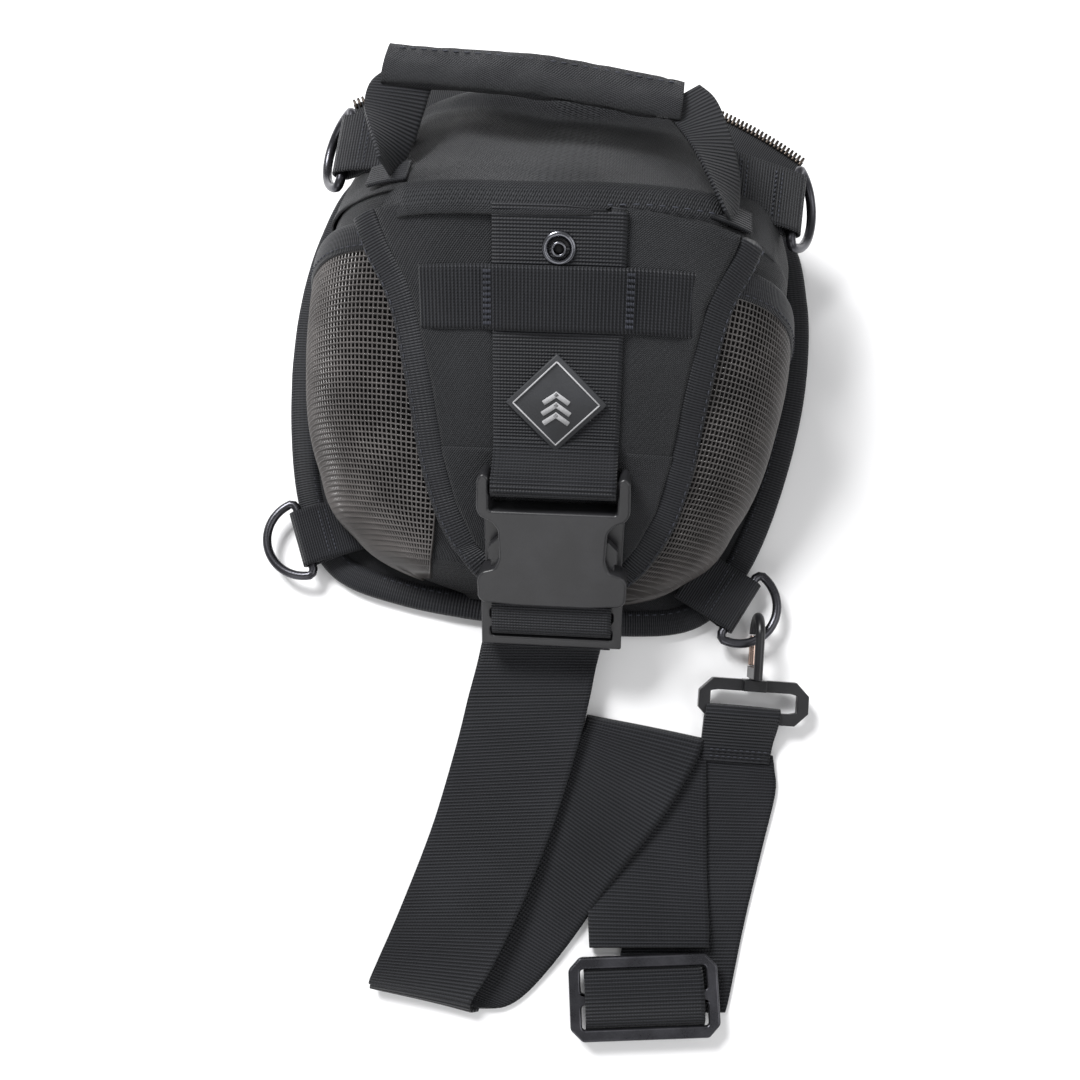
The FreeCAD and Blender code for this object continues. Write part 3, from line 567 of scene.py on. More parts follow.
class POUCH_OT_body(bpy.types.Operator):
    """Front, side, top and back cloth of the stuffed bag"""
    bl_idname = "pouch.body"
    bl_label = "Bag Cloth"

    def execute(self, context):
        fabric = FINISHES["pouch_fabric"]
        front = bag_cloth("front_cloth", (-105.5, 34.5), lambda y: (turn_at(-SPLIT, y), turn_at(SPLIT, y)),
                          70, 60, seed=1.0, wide=0.13)
        dress(front, "bag", fabric, ["front_panel"])
        for side, sign in (("left", -1), ("right", 1)):
            panel = bag_cloth(
                f"side_cloth_{side}", (-105.0, 34.5),
                lambda y, sign=sign: (sign * 1.0, turn_at(sign * SPLIT * 0.98, y)),
                70, 40, lift=-0.6, uneven=1.4, seed=2.0 + sign, wide=0.12)
            dress(panel, "bag", fabric, [f"side_panel_{side}"])
        top = bag_cloth("top_cloth", (33.5, 108.4), lambda y: (-1.0, 1.0), 56, 110,
                        lift=0.2, uneven=3.0, seed=4.0, wide=0.33)
        self.open_mouth(top)
        dress(top, "bag", fabric, ["top_panel"])

        def end(u, v):
            rim = girth(PLACES[-1], 2 * u - 1)
            foot = Vector((rim.x, rim.y, 3.0 * MM))
            return foot.lerp(rim, v) + Vector((0, 1, 0)) * ripple(rim * v, 30, 1.0, 6.0)
        wall = cloth("end_cloth", 24, 50, end, (0.08, 0.05), 1.0 * MM, offset=1.0)
        dress(wall, "bag", fabric)
        back = self.back_cloth()
        dress(back, "bag", fabric, ["back_panel"])
        self.ridge_seam()
        return {"FINISHED"}

    def open_mouth(self, top):
        """Cuts the open mouth between the two zip rows."""
        bm = bmesh.new()
        bm.from_mesh(top.data)
        gone = [face for face in bm.faces
                if abs(face.calc_center_median().z - 58 * MM) < 2.9 * MM
                and face.calc_center_median().y > 92 * MM]
        bmesh.ops.delete(bm, geom=gone, context="FACES")
        bm.to_mesh(top.data)
        bm.free()

    def back_cloth(self):
        """The padded back, cut to the bag's edge."""
        def place(u, v):
            spot = outline(u)
            reach = 0.965 * math.sin(v * math.pi / 2) if v < 1 else 0.965
            return Vector((spot.x * reach, spot.y * reach, 5.6 - 1.6 * reach ** 6)) * MM
        made = cloth("back_cloth", 24, 120, place, (0.6, 0.12), 0, closed=True)
        bm = bmesh.new()
        bm.from_mesh(made.data)
        bmesh.ops.remove_doubles(bm, verts=bm.verts, dist=1e-5)
        rim = [edge for edge in bm.edges if edge.is_boundary]
        down = bmesh.ops.extrude_edge_only(bm, edges=rim)["geom"]
        low = [part for part in down if isinstance(part, bmesh.types.BMVert)]
        for vert in low:
            vert.co.z = 0.6 * MM
        loop = [part for part in down if isinstance(part, bmesh.types.BMEdge)]
        bmesh.ops.holes_fill(bm, edges=loop, sides=0)
        bmesh.ops.recalc_face_normals(bm, faces=bm.faces)
        bm.to_mesh(made.data)
        bm.free()
        return made

    def ridge_seam(self):
        """The stitched seam that stands along the ridge, and its thread."""
        def crest(across, back, rise):
            x = across * math.cos(SKEW)
            y = 34.0 + across * math.sin(SKEW) - 1.2 * math.cos(math.pi * across / 74) + back
            top = min(bag_height(x, y), bag_height(x, 34.0) - 0.45 * abs(y - 34.0))
            return Vector((x, y, top + rise)) * MM

        def frame_at(v):
            across = -70 + 140 * v
            rise = 3.6 - 0.6 * max(0.0, abs(across) - 60)
            out = Vector((-0.1, 1, 0.15)).normalized()
            return crest(across, 0, rise), out, Vector((0, -0.15, 1)).normalized()
        seam = folded_tape("ridge_seam", 90, frame_at, 6.5, 1.4, 0.14)
        dress(seam, "bag", FINISHES["pouch_fabric"])
        line = [crest(across, -2.6, 4.75) for across in np.linspace(-60, 60, 80)]
        dress(stitches("ridge_thread", [line], 5.0, 3.4, 0.4), "bag", FINISHES["thread"])


class POUCH_OT_edges(bpy.types.Operator):
    """Grosgrain folded over the bag's edge, with its line of stitches"""
    bl_idname = "pouch.edges"
    bl_label = "Edge Binding"

    def execute(self, context):
        def frame_at(v):
            spot, out, up = outline_frame(v, 4.4, 3.6)
            return spot + up * ripple(spot, 14, 0.5, 6.0), out, up
        tape = folded_tape("edge_tape", 360, frame_at, 5.8, 3.0, 0.72, closed=True)
        dress(tape, "bag", FINISHES["binding_tape"], ["edge_binding"])
        line = [outline_frame(v, 8.0, 6.15)[0] for v in np.linspace(0, 1, 400)]
        dress(stitches("edge_thread", [line], 3.6, 2.4, 0.3), "bag", FINISHES["thread"])
        return {"FINISHED"}


# ---------------------------------------------------------------- mesh pockets


POCKET_FOOT = -100.0
POCKET_INNER = 36.0


def pocket_point(sign, u, v, lift):
    """A point of a mesh pocket: u from the bag's edge to under the flap, v up to its bound top."""
    top = 17.0 + 3.0 * u + 3.0 * math.sin(math.pi * u)
    y = POCKET_FOOT + (top - POCKET_FOOT) * v
    inner = abs(turn_at(sign * POCKET_INNER, y))
    turn = sign * (0.99 + (inner - 0.99) * u)
    puff = lift + 4.0 * math.sin(math.pi * u ** 0.6) ** 1.5 * (0.35 + 0.65 * math.sin(math.pi * v))
    spot = girth(y, turn, puff)
    return spot + Vector((0, 0, 1)) * ripple(spot, 24, 1.2, 8.0 + sign)


class POUCH_OT_pockets(bpy.types.Operator):
    """Coated net over a backing on both sides of the flap, its top edge bound"""
    bl_idname = "pouch.pockets"
    bl_label = "Mesh Pockets"

    def execute(self, context):
        sizes = context.scene.pouch_sizes
        for side, sign in (("left", -1), ("right", 1)):
            backing = cloth(f"pocket_backing_{side}", 60, 44,
                            lambda u, v, sign=sign: pocket_point(sign, u, v, 0.6),
                            (0.1, 0.13), 0.5 * MM, offset=-1.0)
            dress(backing, "bag", FINISHES["mesh_backing"])
            rows = int(118 * MM / sizes.net_pitch)
            columns = int(98 * MM / sizes.net_pitch)
            net = cloth(f"pocket_net_{side}", rows, columns,
                        lambda u, v, sign=sign: pocket_point(sign, u, v, 1.9), (0.1, 0.13), 0)
            settle(net, [("WIREFRAME", {"thickness": sizes.net_strand, "use_even_offset": False,
                                        "use_boundary": True, "use_relative_offset": False})])
            dress(net, "bag", FINISHES["coated_mesh"], [f"mesh_pocket_{side}"])
            self.binding(side, sign)
        return {"FINISHED"}

    def binding(self, side, sign):
        """Grosgrain folded over the pocket's top edge."""
        def frame_at(v):
            here = pocket_point(sign, v, 1.0, 2.2)
            below = pocket_point(sign, v, 0.93, 2.2)
            before = pocket_point(sign, max(v - 0.02, 0), 1.0, 2.2)
            after = pocket_point(sign, min(v + 0.02, 1), 1.0, 2.2)
            run = (after - before).normalized()
            up = (here - below).normalized()
            normal = run.cross(up).normalized() * -sign
            return here - up * 3.4 * MM, up, normal
        tape = folded_tape(f"pocket_tape_{side}", 90, frame_at, 5.6, 1.5, 0.11)
        dress(tape, "bag", FINISHES["binding_tape"])
        line = []
        for v in np.linspace(0.02, 0.98, 60):
            middle, up, normal = frame_at(v)
            line.append(middle - up * 3.6 * MM + normal * 1.55 * MM)
        dress(stitches(f"pocket_thread_{side}", [line], 3.4, 2.3, 0.3), "bag",
              FINISHES["thread"])


# ---------------------------------------------------------------- flap


FLAP_LENGTH = 158.0
FLAP_HALF = np.array([(0, 70.5), (14, 66), (36, 57), (70, 51), (100, 47), (122, 42), (138, 35),
                      (150, 26), (158, 14)], float)


def flap_half(down):
    """Half the flap's width at a distance down it, in millimetres."""
    return float(np.interp(down, FLAP_HALF[:, 0], FLAP_HALF[:, 1]))


def flap_edge(v, inset):
    """Across and down of a point on the flap's edge: from the left brow, round the tip, to the right."""
    rows = [(-w, d) for d, w in FLAP_HALF] + [(0, 161)] + [(w, d) for d, w in FLAP_HALF[::-1]]
    line = route([(a, d, 0) for a, d in rows], 121)
    at = v * 120
    i = min(int(at), 119)
    t = at - i
    spot = Vector(line[i][:2]) * (1 - t) + Vector(line[i + 1][:2]) * t
    run = (Vector(line[i + 1][:2]) - Vector(line[i][:2])).normalized()
    inward = Vector((run.y, -run.x)) * -1
    return spot + inward * inset, run, inward


def on_flap_frame(spot, run, inward, lift):
    """The place, the outward and the normal directions on the flap, in metres."""
    here = on_flap(spot.x, spot.y, lift)
    out = (on_flap(spot.x - inward.x, spot.y - inward.y, lift) - here).normalized()
    along = (on_flap(spot.x + run.x, spot.y + run.y, lift) - here).normalized()
    normal = along.cross(out).normalized()
    return here, out, normal if normal.z > 0 else -normal


class POUCH_OT_flap(bpy.types.Operator):
    """The flap's cloth, its tip panel and the grosgrain round its edge"""
    bl_idname = "pouch.flap"
    bl_label = "Flap"

    def execute(self, context):
        fabric = FINISHES["pouch_fabric"]
        cloth_lift = 3.0

        def place(u, v):
            down = v * FLAP_LENGTH
            half = flap_half(down) - 1.5
            across = (2 * u - 1) * half
            ease = 0.4 * math.sin(math.pi * min(1, abs(2 * u - 1) * 1.0)) * math.sin(math.pi * v)
            spot = on_flap(across, down, cloth_lift + ease)
            return spot + Vector((0, 0, 1)) * ripple(spot, 30, 0.6, 12.0)
        panel = cloth("flap_cloth", 90, 66, place, (0.13, 0.158), 1.5 * MM, offset=-1.0)
        dress(panel, "flap", fabric, ["flap_panel"])

        def tip(u, v):
            down = 97 + v * (FLAP_LENGTH - 97)
            across = (2 * u - 1) * (flap_half(down) - 1.2)
            return on_flap(across, down, cloth_lift + 1.0)
        lower = cloth("flap_tip_cloth", 36, 60, tip, (0.1, 0.06), 1.0 * MM, offset=-1.0)
        dress(lower, "flap", fabric, ["flap_tip_panel"])

        def frame_at(v):
            spot, run, inward = flap_edge(v, 3.6)
            middle, out, normal = on_flap_frame(spot, run, inward, cloth_lift)
            return middle + normal * ripple(middle, 15, 0.6, 14.0), out, normal
        tape = folded_tape("flap_tape", 260, frame_at, 5.8, 1.9, 0.36)
        dress(tape, "flap", FINISHES["binding_tape"], ["flap_binding"])
        threads = []
        line = []
        for v in np.linspace(0.01, 0.99, 240):
            spot, run, inward = flap_edge(v, 7.2)
            line.append(on_flap_frame(spot, run, inward, cloth_lift + 1.85)[0])
        threads.append(line)
        threads.append([on_flap(a, 98.5, cloth_lift + 1.3) for a in np.linspace(-40, 40, 70)])
        dress(stitches("flap_thread", threads, 3.6, 2.4, 0.3), "flap", FINISHES["thread"])
        return {"FINISHED"}


class POUCH_OT_flap_webbing(bpy.types.Operator):
    """The wide webbing down the flap and the narrow webbing across it, bar-tacked"""
    bl_idname = "pouch.flap_webbing"
    bl_label = "Flap Webbing"

    def execute(self, context):
        def centre(u, v):
            down = 1.0 + v * 103.2
            sink = 1.0 * max(0.0, (down - 98) / 6) ** 2
            spot = on_flap((2 * u - 1) * HALF_WEBBING, down, 4.5 - sink)
            return spot + Vector((0, 0, 1)) * ripple(spot, 40, 0.35, 20.0)
        wide = cloth("centre_webbing", 60, 24, centre, (0.05, 0.112), 1.5 * MM, offset=-1.0)
        dress(wide, "flap", FINISHES["webbing"], ["center_webbing"])

        def across(u, v):
            side = -53 + 106 * u
            bow = 0.9 * max(0.0, math.cos(math.pi * side / 54)) if abs(side) < 27 else 0.0
            drop = 0.9 * min(1.0, max(0.0, (abs(side) - 25) / 3)) + 0.9 * max(0.0, (abs(side) - 44) / 9)
            return on_flap(side, 36 + 12.5 * (1 - 2 * v), 6.2 + bow - drop)
        narrow = cloth("cross_webbing", 12, 90, across, (0.106, 0.025), 1.3 * MM, offset=-1.0)
        dress(narrow, "flap", FINISHES["webbing_upright"], ["molle_webbing"])
        tacks = []
        for side in (-27, 27):
            for offset in np.linspace(-1.2, 1.2, 5):
                tacks.append([on_flap(side + offset, 36 + d, 6.25) for d in np.linspace(-12, 12, 24)])
        for down in (98.5, 101.0):
            tacks.append([on_flap(a, down, 4.75) for a in np.linspace(-23, 23, 40)])
        for side in (-23.3, 23.3):
            tacks.append([on_flap(side, d, 4.7) for d in np.linspace(4, 98, 60)])
        dress(stitches("webbing_thread", tacks, 2.2, 1.7, 0.3), "flap", FINISHES["thread"])
        return {"FINISHED"}


class POUCH_OT_patch(bpy.types.Operator):
    """A rubber diamond with a pale border and plain chevrons"""
    bl_idname = "pouch.patch"
    bl_label = "Patch"

    def execute(self, context):
        face = FLAP_FRAME @ Matrix.Translation(Vector((0, -77, 4.45)) * MM)
        quarter = Matrix.Rotation(math.radians(45), 4, "Z")

        def plate(name, size, low, high, bevel, finish):
            bm = bmesh.new()
            spread = size * math.sqrt(0.5)
            block(bm, (-spread, -spread, low), (spread, spread, high), face @ quarter, bevel)
            return dress(to_object(name, bm), "flap", FINISHES[finish])
        base = plate("patch_plate", 20.0, 0, 1.9, 0.5, "patch_rubber")
        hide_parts("rubber_patch")
        bm = bmesh.new()
        rim, line = 12.3, 0.55
        for turn in range(4):
            spin = Matrix.Rotation(math.radians(90 * turn), 4, "Z")
            block(bm, (-rim, rim - line, 1.5), (rim, rim, 2.4), face @ quarter @ spin, 0.15, 1)
        bars = []
        for step, arm in ((-4.6, 6.2), (-0.4, 6.8), (3.8, 6.2)):
            for sign in (-1, 1):
                lean = Matrix.Translation(Vector((0, step, 0)) * MM) @ Matrix.Rotation(
                    math.radians(35 * sign), 4, "Z")
                low, high = ((-arm, -1.0, 1.5), (0.9, 1.0, 2.35)) if sign > 0 else (
                    (-0.9, -1.0, 1.5), (arm, 1.0, 2.35))
                bars.append((low, high, lean))
        for low, high, lean in bars:
            block(bm, low, high, face @ lean, 0.2, 1)
        dress(to_object("patch_relief", bm), "flap", FINISHES["patch_print"])
        return {"FINISHED"}


def turned(name, profile, matrix, steps=48):
    """A round part spun from a profile of radius and height in millimetres."""
    bm = bmesh.new()
    verts = [bm.verts.new((radius * MM, 0, height * MM)) for radius, height in profile]
    edges = [bm.edges.new(pair) for pair in zip(verts, verts[1:])]
    bmesh.ops.spin(bm, geom=verts + edges, cent=(0, 0, 0), axis=(0, 0, 1), angle=2 * math.pi,
                   steps=steps, use_merge=True)
    bmesh.ops.remove_doubles(bm, verts=bm.verts, dist=1e-6)
    bmesh.ops.transform(bm, matrix=matrix, verts=bm.verts)
    return to_object(name, bm)


class POUCH_OT_snap(bpy.types.Operator):
    """The press snap set in the flap's webbing, with painted shade in its hollow and in the recess round its
    post
    """
    bl_idname = "pouch.snap"
    bl_label = "Press Snap"

    def execute(self, context):
        seat = FLAP_FRAME @ Matrix.Translation(Vector((0, -17, 4.4)) * MM)
        ring = [(0, 0.2), (3.6, 0.2), (3.6, 0.45), (4.0, 0.5), (4.3, 1.25), (5.2, 1.6), (6.1, 1.3),
                (6.5, 0.6), (6.5, 0.0), (0, 0.0)]
        flange = turned("snap_ring", ring, seat)
        dress(flange, "flap", FINISHES["snap_nickel"], ["snap_flange"])
        post = [(0, 0.6), (1.7, 0.6), (1.8, 0.9), (1.9, 3.0), (2.15, 3.4), (2.6, 3.4), (2.9, 3.05),
                (2.75, 2.4), (2.5, 1.6), (2.5, 0.3), (0, 0.3)]
        stud = turned("snap_stud", post, seat)
        dress(stud, "flap", FINISHES["snap_nickel"], ["snap_post"])
        # A dark fill in the post's hollow and a dark ring in the recess round the post, both in the shadow
        # finish: painted shade.
        core = turned("snap_hollow_painted_shade", [(0, 1.9), (1.6, 1.9), (1.6, 0.7), (0, 0.7)], seat)
        dress(core, "flap", FINISHES["shadow"])
        groove = turned("snap_recess_painted_shade", [(2.6, 0.55), (3.9, 0.55), (3.9, 0.3), (2.6, 0.3), (2.6, 0.55)], seat)
        dress(groove, "flap", FINISHES["shadow"])
        return {"FINISHED"}


# ---------------------------------------------------------------- buckle


def both_sides(half):
    """An outline from its right half, in millimetres."""
    return half + [(-x, y) for x, y in reversed(half)]


SOCKET_OUTLINE = both_sides([
    (25.7, -119.0), (25.7, -104.5), (28.4, -103.0), (30.6, -105.5), (31.0, -118.5), (29.4, -121.8),
    (25.0, -123.6), (22.2, -127.0), (21.6, -140.0), (23.4, -144.6), (29.0, -146.4), (30.8, -149.5),
    (30.6, -158.0), (28.6, -160.2), (14.0, -161.2)])
SOCKET_FLOOR = both_sides([(29.0, -121.5), (28.6, -146.5)])


def plate(name, points, low, high, matrix, radius, segments):
    """A flat moulded shape from its outline, its upper and lower edges rounded."""
    bm = bmesh.new()
    verts = [bm.verts.new((x * MM, y * MM, low * MM)) for x, y in points]
    face = bm.faces.new(verts)
    pushed = bmesh.ops.extrude_face_region(bm, geom=[face])["geom"]
    top = [part for part in pushed if isinstance(part, bmesh.types.BMVert)]
    bmesh.ops.translate(bm, vec=(0, 0, (high - low) * MM), verts=top)
    bmesh.ops.recalc_face_normals(bm, faces=bm.faces)
    upright = [edge for edge in bm.edges if abs(edge.verts[0].co.z - edge.verts[1].co.z) > MM]
    bmesh.ops.bevel(bm, geom=upright, offset=1.2 * MM, segments=3, profile=0.5, affect="EDGES",
                    material=-1, clamp_overlap=True)
    rim = [edge for edge in bm.edges if abs(edge.verts[0].co.z - edge.verts[1].co.z) < 1e-6
           and len(edge.link_faces) == 2 and edge.calc_face_angle(0) > 0.8]
    bmesh.ops.bevel(bm, geom=rim, offset=radius * MM, segments=segments, profile=0.5,
                    affect="EDGES", material=-1, clamp_overlap=True)
    bmesh.ops.transform(bm, matrix=matrix, verts=bm.verts)
    obj = to_object(name, bm)
    return settle(obj, [("WEIGHTED_NORMAL", {"keep_sharp": False})])


class POUCH_OT_buckle(bpy.types.Operator):
    """Side-release buckle: socket, plug and its two sprung prongs"""
    bl_idname = "pouch.buckle"
    bl_label = "Buckle"

    def execute(self, context):
        plastic = FINISHES["buckle_plastic"]
        pieces = (("plug_shell", "buckle_plug", "plug", 0.9),
                  ("prong_shell_left", "prong_left", "prong_left", 0.7),
                  ("prong_shell_right", "prong_right", "prong_right", 0.7))
        for name, node, body, radius in pieces:
            dress(rounded_copy(name, node, radius), body, plastic, [node])
        socket = plate("socket_shell", SOCKET_OUTLINE, 4.9, 17.8, FLAP_FRAME, 1.9, 5)
        dress(socket, "flap", plastic, ["buckle_socket"])
        floor = plate("socket_floor", SOCKET_FLOOR, 4.9, 7.6, FLAP_FRAME, 0.8, 3)
        dress(floor, "flap", plastic)
        bm = bmesh.new()
        block(bm, (-26.5, -109.3, 8.0), (26.5, -105.6, 15.0), FLAP_FRAME, 1.2, 3)
        dress(to_object("socket_bar", bm), "flap", plastic)

        def slot_fold(u, v):
            across = (2 * u - 1) * HALF_WEBBING
            spot = sample(SLOT_PATH, v)
            return FLAP_FRAME @ (Vector((across, spot[0], spot[1])) * MM)
        fold = cloth("slot_webbing", 48, 20, slot_fold, (0.05, 0.03), 1.2 * MM, offset=0.0)
        dress(fold, "flap", FINISHES["webbing"])
        return {"FINISHED"}


SLOT_PATH = route([(-92, 4.6, 0), (-97, 6.4, 0), (-101, 11.0, 0), (-104, 15.6, 0), (-107, 18.3, 0),
                   (-110, 18.6, 0), (-112.4, 16.4, 0), (-113.0, 12.0, 0)], 33)


# ---------------------------------------------------------------- strap


def ribbon(name, rows, count, lift=0.0, shift=0.0, thick=1.5, across=26, spread=1.0):
    """Webbing through rows of its left and right edges, in millimetres; its length in metres too."""
    left = np.array([row[:3] for row in rows], float)
    right = np.array([row[3:] for row in rows], float)
    middle = (left + right) / 2
    half = (right - left) / 2 * spread
    line = route([tuple(m) + tuple(h) for m, h in zip(middle, half)], count)
    length = float(np.linalg.norm(np.diff(line[:, :3], axis=0), axis=1).sum()) * MM

    def place(u, v):
        at = v * (count - 1)
        i = min(int(at), count - 2)
        t = at - i
        spot = line[i] * (1 - t) + line[i + 1] * t
        run = Vector(line[min(i + 2, count - 1)][:3]) - Vector(line[max(i - 1, 0)][:3])
        side = Vector(spot[3:])
        normal = side.cross(run).normalized()
        edge = side.normalized()
        bow = 0.35 * math.cos(math.pi * (u - 0.5))
        point = Vector(spot[:3]) + side * (2 * u - 1) + edge * shift + normal * (lift + bow)
        return point * MM + normal * ripple(point * MM, 45, 0.5, 30.0)
    made = cloth(name, count * 2, across, place, (0.05, length), thick * MM, offset=0.0)
    return made, length


RUN_ONE = [
    (-8.5, -111, 27, 41, -106, 32), (-10.5, -121, 19, 40, -115, 21), (-12, -133, 11.5, 39, -126, 12.5),
    (-14, -149, 9, 38, -141, 12.5), (-16, -170, 8.6, 36, -160, 12.0), (-21, -205, 8.8, 30, -196, 10.0),
    (-29, -240, 9.6, 21, -232, 10.0), (-35, -262, 9.6, 12, -259, 10.5), (-37.5, -271, 8.0, 6, -272, 9.0),
    (-37.5, -273.5, 5.0, 5.5, -277, 5.6), (-35, -272.5, 2.4, 9, -277, 2.6)]
RUN_TWO = [
    (-35, -272.5, 2.4, 9, -277, 2.6), (-28, -264, 1.6, 20, -275, 1.4), (-19, -250, 1.6, 30, -266, 1.4),
    (-4, -225, 1.8, 43, -246, 2.0), (14, -195, 3.6, 58, -218, 4.2), (30, -170, 5.6, 76, -188, 6.4),
    (37.5, -156, 6.2, 87, -164, 6.8), (38.5, -151, 5.2, 90, -154.5, 6.0), (39, -150, 3.4, 91, -153, 3.4)]
RUN_THREE = [
    (39, -150, 3.4, 91, -153, 3.4), (40, -154, 2.2, 92.5, -156, 2.2), (43, -180, 2.2, 95.5, -180, 2.2),
    (47.5, -212, 2.3, 99, -209, 2.3), (51, -236, 3.6, 102.2, -230, 3.6), (52.8, -246, 4.4, 103, -239, 4.4)]
RUN_FOUR = [
    (90, -157, 2.2, 122, -155, 2.2), (85.5, -163, 1.6, 123.5, -161, 1.8), (78, -176, 1.2, 125, -171, 1.4),
    (73, -200, 1.1, 122, -194, 1.1), (68, -235, 1.1, 117.5, -228, 1.1), (64.5, -266, 1.1, 114.5, -258, 1.1),
    (63.5, -272, 1.1, 113.5, -264.5, 1.1)]
TAIL_ROWS = 4


class POUCH_OT_strap(bpy.types.Operator):
    """The sling strap: its loop on the plug, its doubled runs, its single run and its sewn hem"""
    bl_idname = "pouch.strap"
    bl_label = "Sling Strap"

    def execute(self, context):
        web = FINISHES["webbing"]
        tail = RUN_ONE[:TAIL_ROWS]
        first = RUN_ONE[TAIL_ROWS - 1:]
        layers = (("upper", 0.85, 0.0), ("lower", -0.85, 0.9))
        for layer, lift, shift in layers:
            piece, length = ribbon(f"tail_{layer}", tail, 24, lift, shift)
            dress(piece, "plug", web, ["strap_tail"] if layer == "upper" else [])
            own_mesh(piece)
            piece, length = ribbon(f"first_run_{layer}", first, 70, lift, shift)
            piece.data.materials.append(web)
            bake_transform(piece)
            if layer == "upper":
                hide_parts("strap_run")
            for run, rows, count in (("second", RUN_TWO, 70), ("third", RUN_THREE, 44)):
                piece, length = ribbon(f"{run}_run_{layer}", rows, count, lift, shift * (run != "third"))
                dress(piece, "bag", web)
        single, length = ribbon("single_run", RUN_FOUR, 60, 0.0)
        dress(single, "bag", web, ["strap_single_run"])
        self.plug_loop(web)
        self.hem(web)
        return {"FINISHED"}

    def plug_loop(self, web):
        """The strap's end, folded round the plug's bar."""
        profile = route([(-161.5, 15.0, 0), (-168, 15.4, 0), (-173, 15.2, 0), (-175.9, 13.4, 0),
                         (-176.8, 10.0, 0), (-178.2, 7.3, 0), (-181.5, 6.8, 0), (-186, 6.4, 0)], 41)

        def place(u, v):
            spot = sample(profile, v)
            return FLAP_FRAME @ (Vector(((2 * u - 1) * HALF_WEBBING, spot[0], spot[1])) * MM)
        loop = cloth("plug_webbing", 80, 24, place, (0.05, 0.034), 1.3 * MM, offset=0.0)
        dress(loop, "plug", web, ["strap_loop"])

    def hem(self, web):
        """The strap's hem, narrowed and sewn where it goes round the hook's ring."""
        rows = [(91, -161, 3.4, 120.5, -159, 3.4), (90, -152, 5.6, 121, -150, 5.6),
                (89.5, -145, 9.0, 121.8, -143, 9.0), (89.6, -140.5, 11.2, 122, -138.3, 11.2),
                (89.8, -137.6, 9.6, 122, -135.6, 9.6), (90, -138.0, 6.6, 122, -136, 6.6),
                (90, -143, 3.6, 121.6, -141, 3.6), (90.2, -152, 2.2, 121, -150, 2.2)]
        piece, length = ribbon("hem_webbing", rows, 50, 0.0)
        dress(piece, "bag", web, ["strap_hem"])
        lines = []
        for share in (0.12, 0.3):
            a, b = Vector(rows[0][:3]) * MM, Vector(rows[0][3:]) * MM
            c, d = Vector(rows[2][:3]) * MM, Vector(rows[2][3:]) * MM
            left, right = a.lerp(c, share), b.lerp(d, share)
            up = Vector((0, 0, 1.3 * MM))
            lines.append([left.lerp(right, t) + up for t in np.linspace(0.06, 0.94, 30)])
        dress(stitches("hem_thread", lines, 2.6, 1.9, 0.35), "bag", FINISHES["thread"])


class POUCH_OT_glide(bpy.types.Operator):
    """The three-bar glide and the band of webbing over its middle bar"""
    bl_idname = "pouch.glide"
    bl_label = "Glide"

    def execute(self, context):
        shell = rounded_copy("glide_frame", "strap_glide", 1.1, 3)
        dress(shell, "glide", FINISHES["gunmetal"], ["strap_glide"])
        lean = Matrix.Translation(Vector((78, -262, 6.1)) * MM) @ Matrix.Rotation(math.radians(10), 4, "Z")
        profile = route([(15.0, -2.2, 0), (12.2, -0.8, 0), (9.0, 2.6, 0), (5, 4.3, 0), (0, 4.9, 0),
                         (-5, 4.3, 0), (-9.0, 2.6, 0), (-12.0, -0.6, 0), (-14.0, -2.6, 0)], 41)

        def place(u, v):
            spot = sample(profile, v)
            return lean @ (Vector(((2 * u - 1) * HALF_WEBBING, spot[0], spot[1])) * MM)
        band = cloth("glide_webbing", 60, 24, place, (0.05, 0.034), 1.4 * MM, offset=0.0)
        dress(band, "glide", FINISHES["webbing"], ["strap_glide_loop"])
        return {"FINISHED"}


# ---------------------------------------------------------------- handle


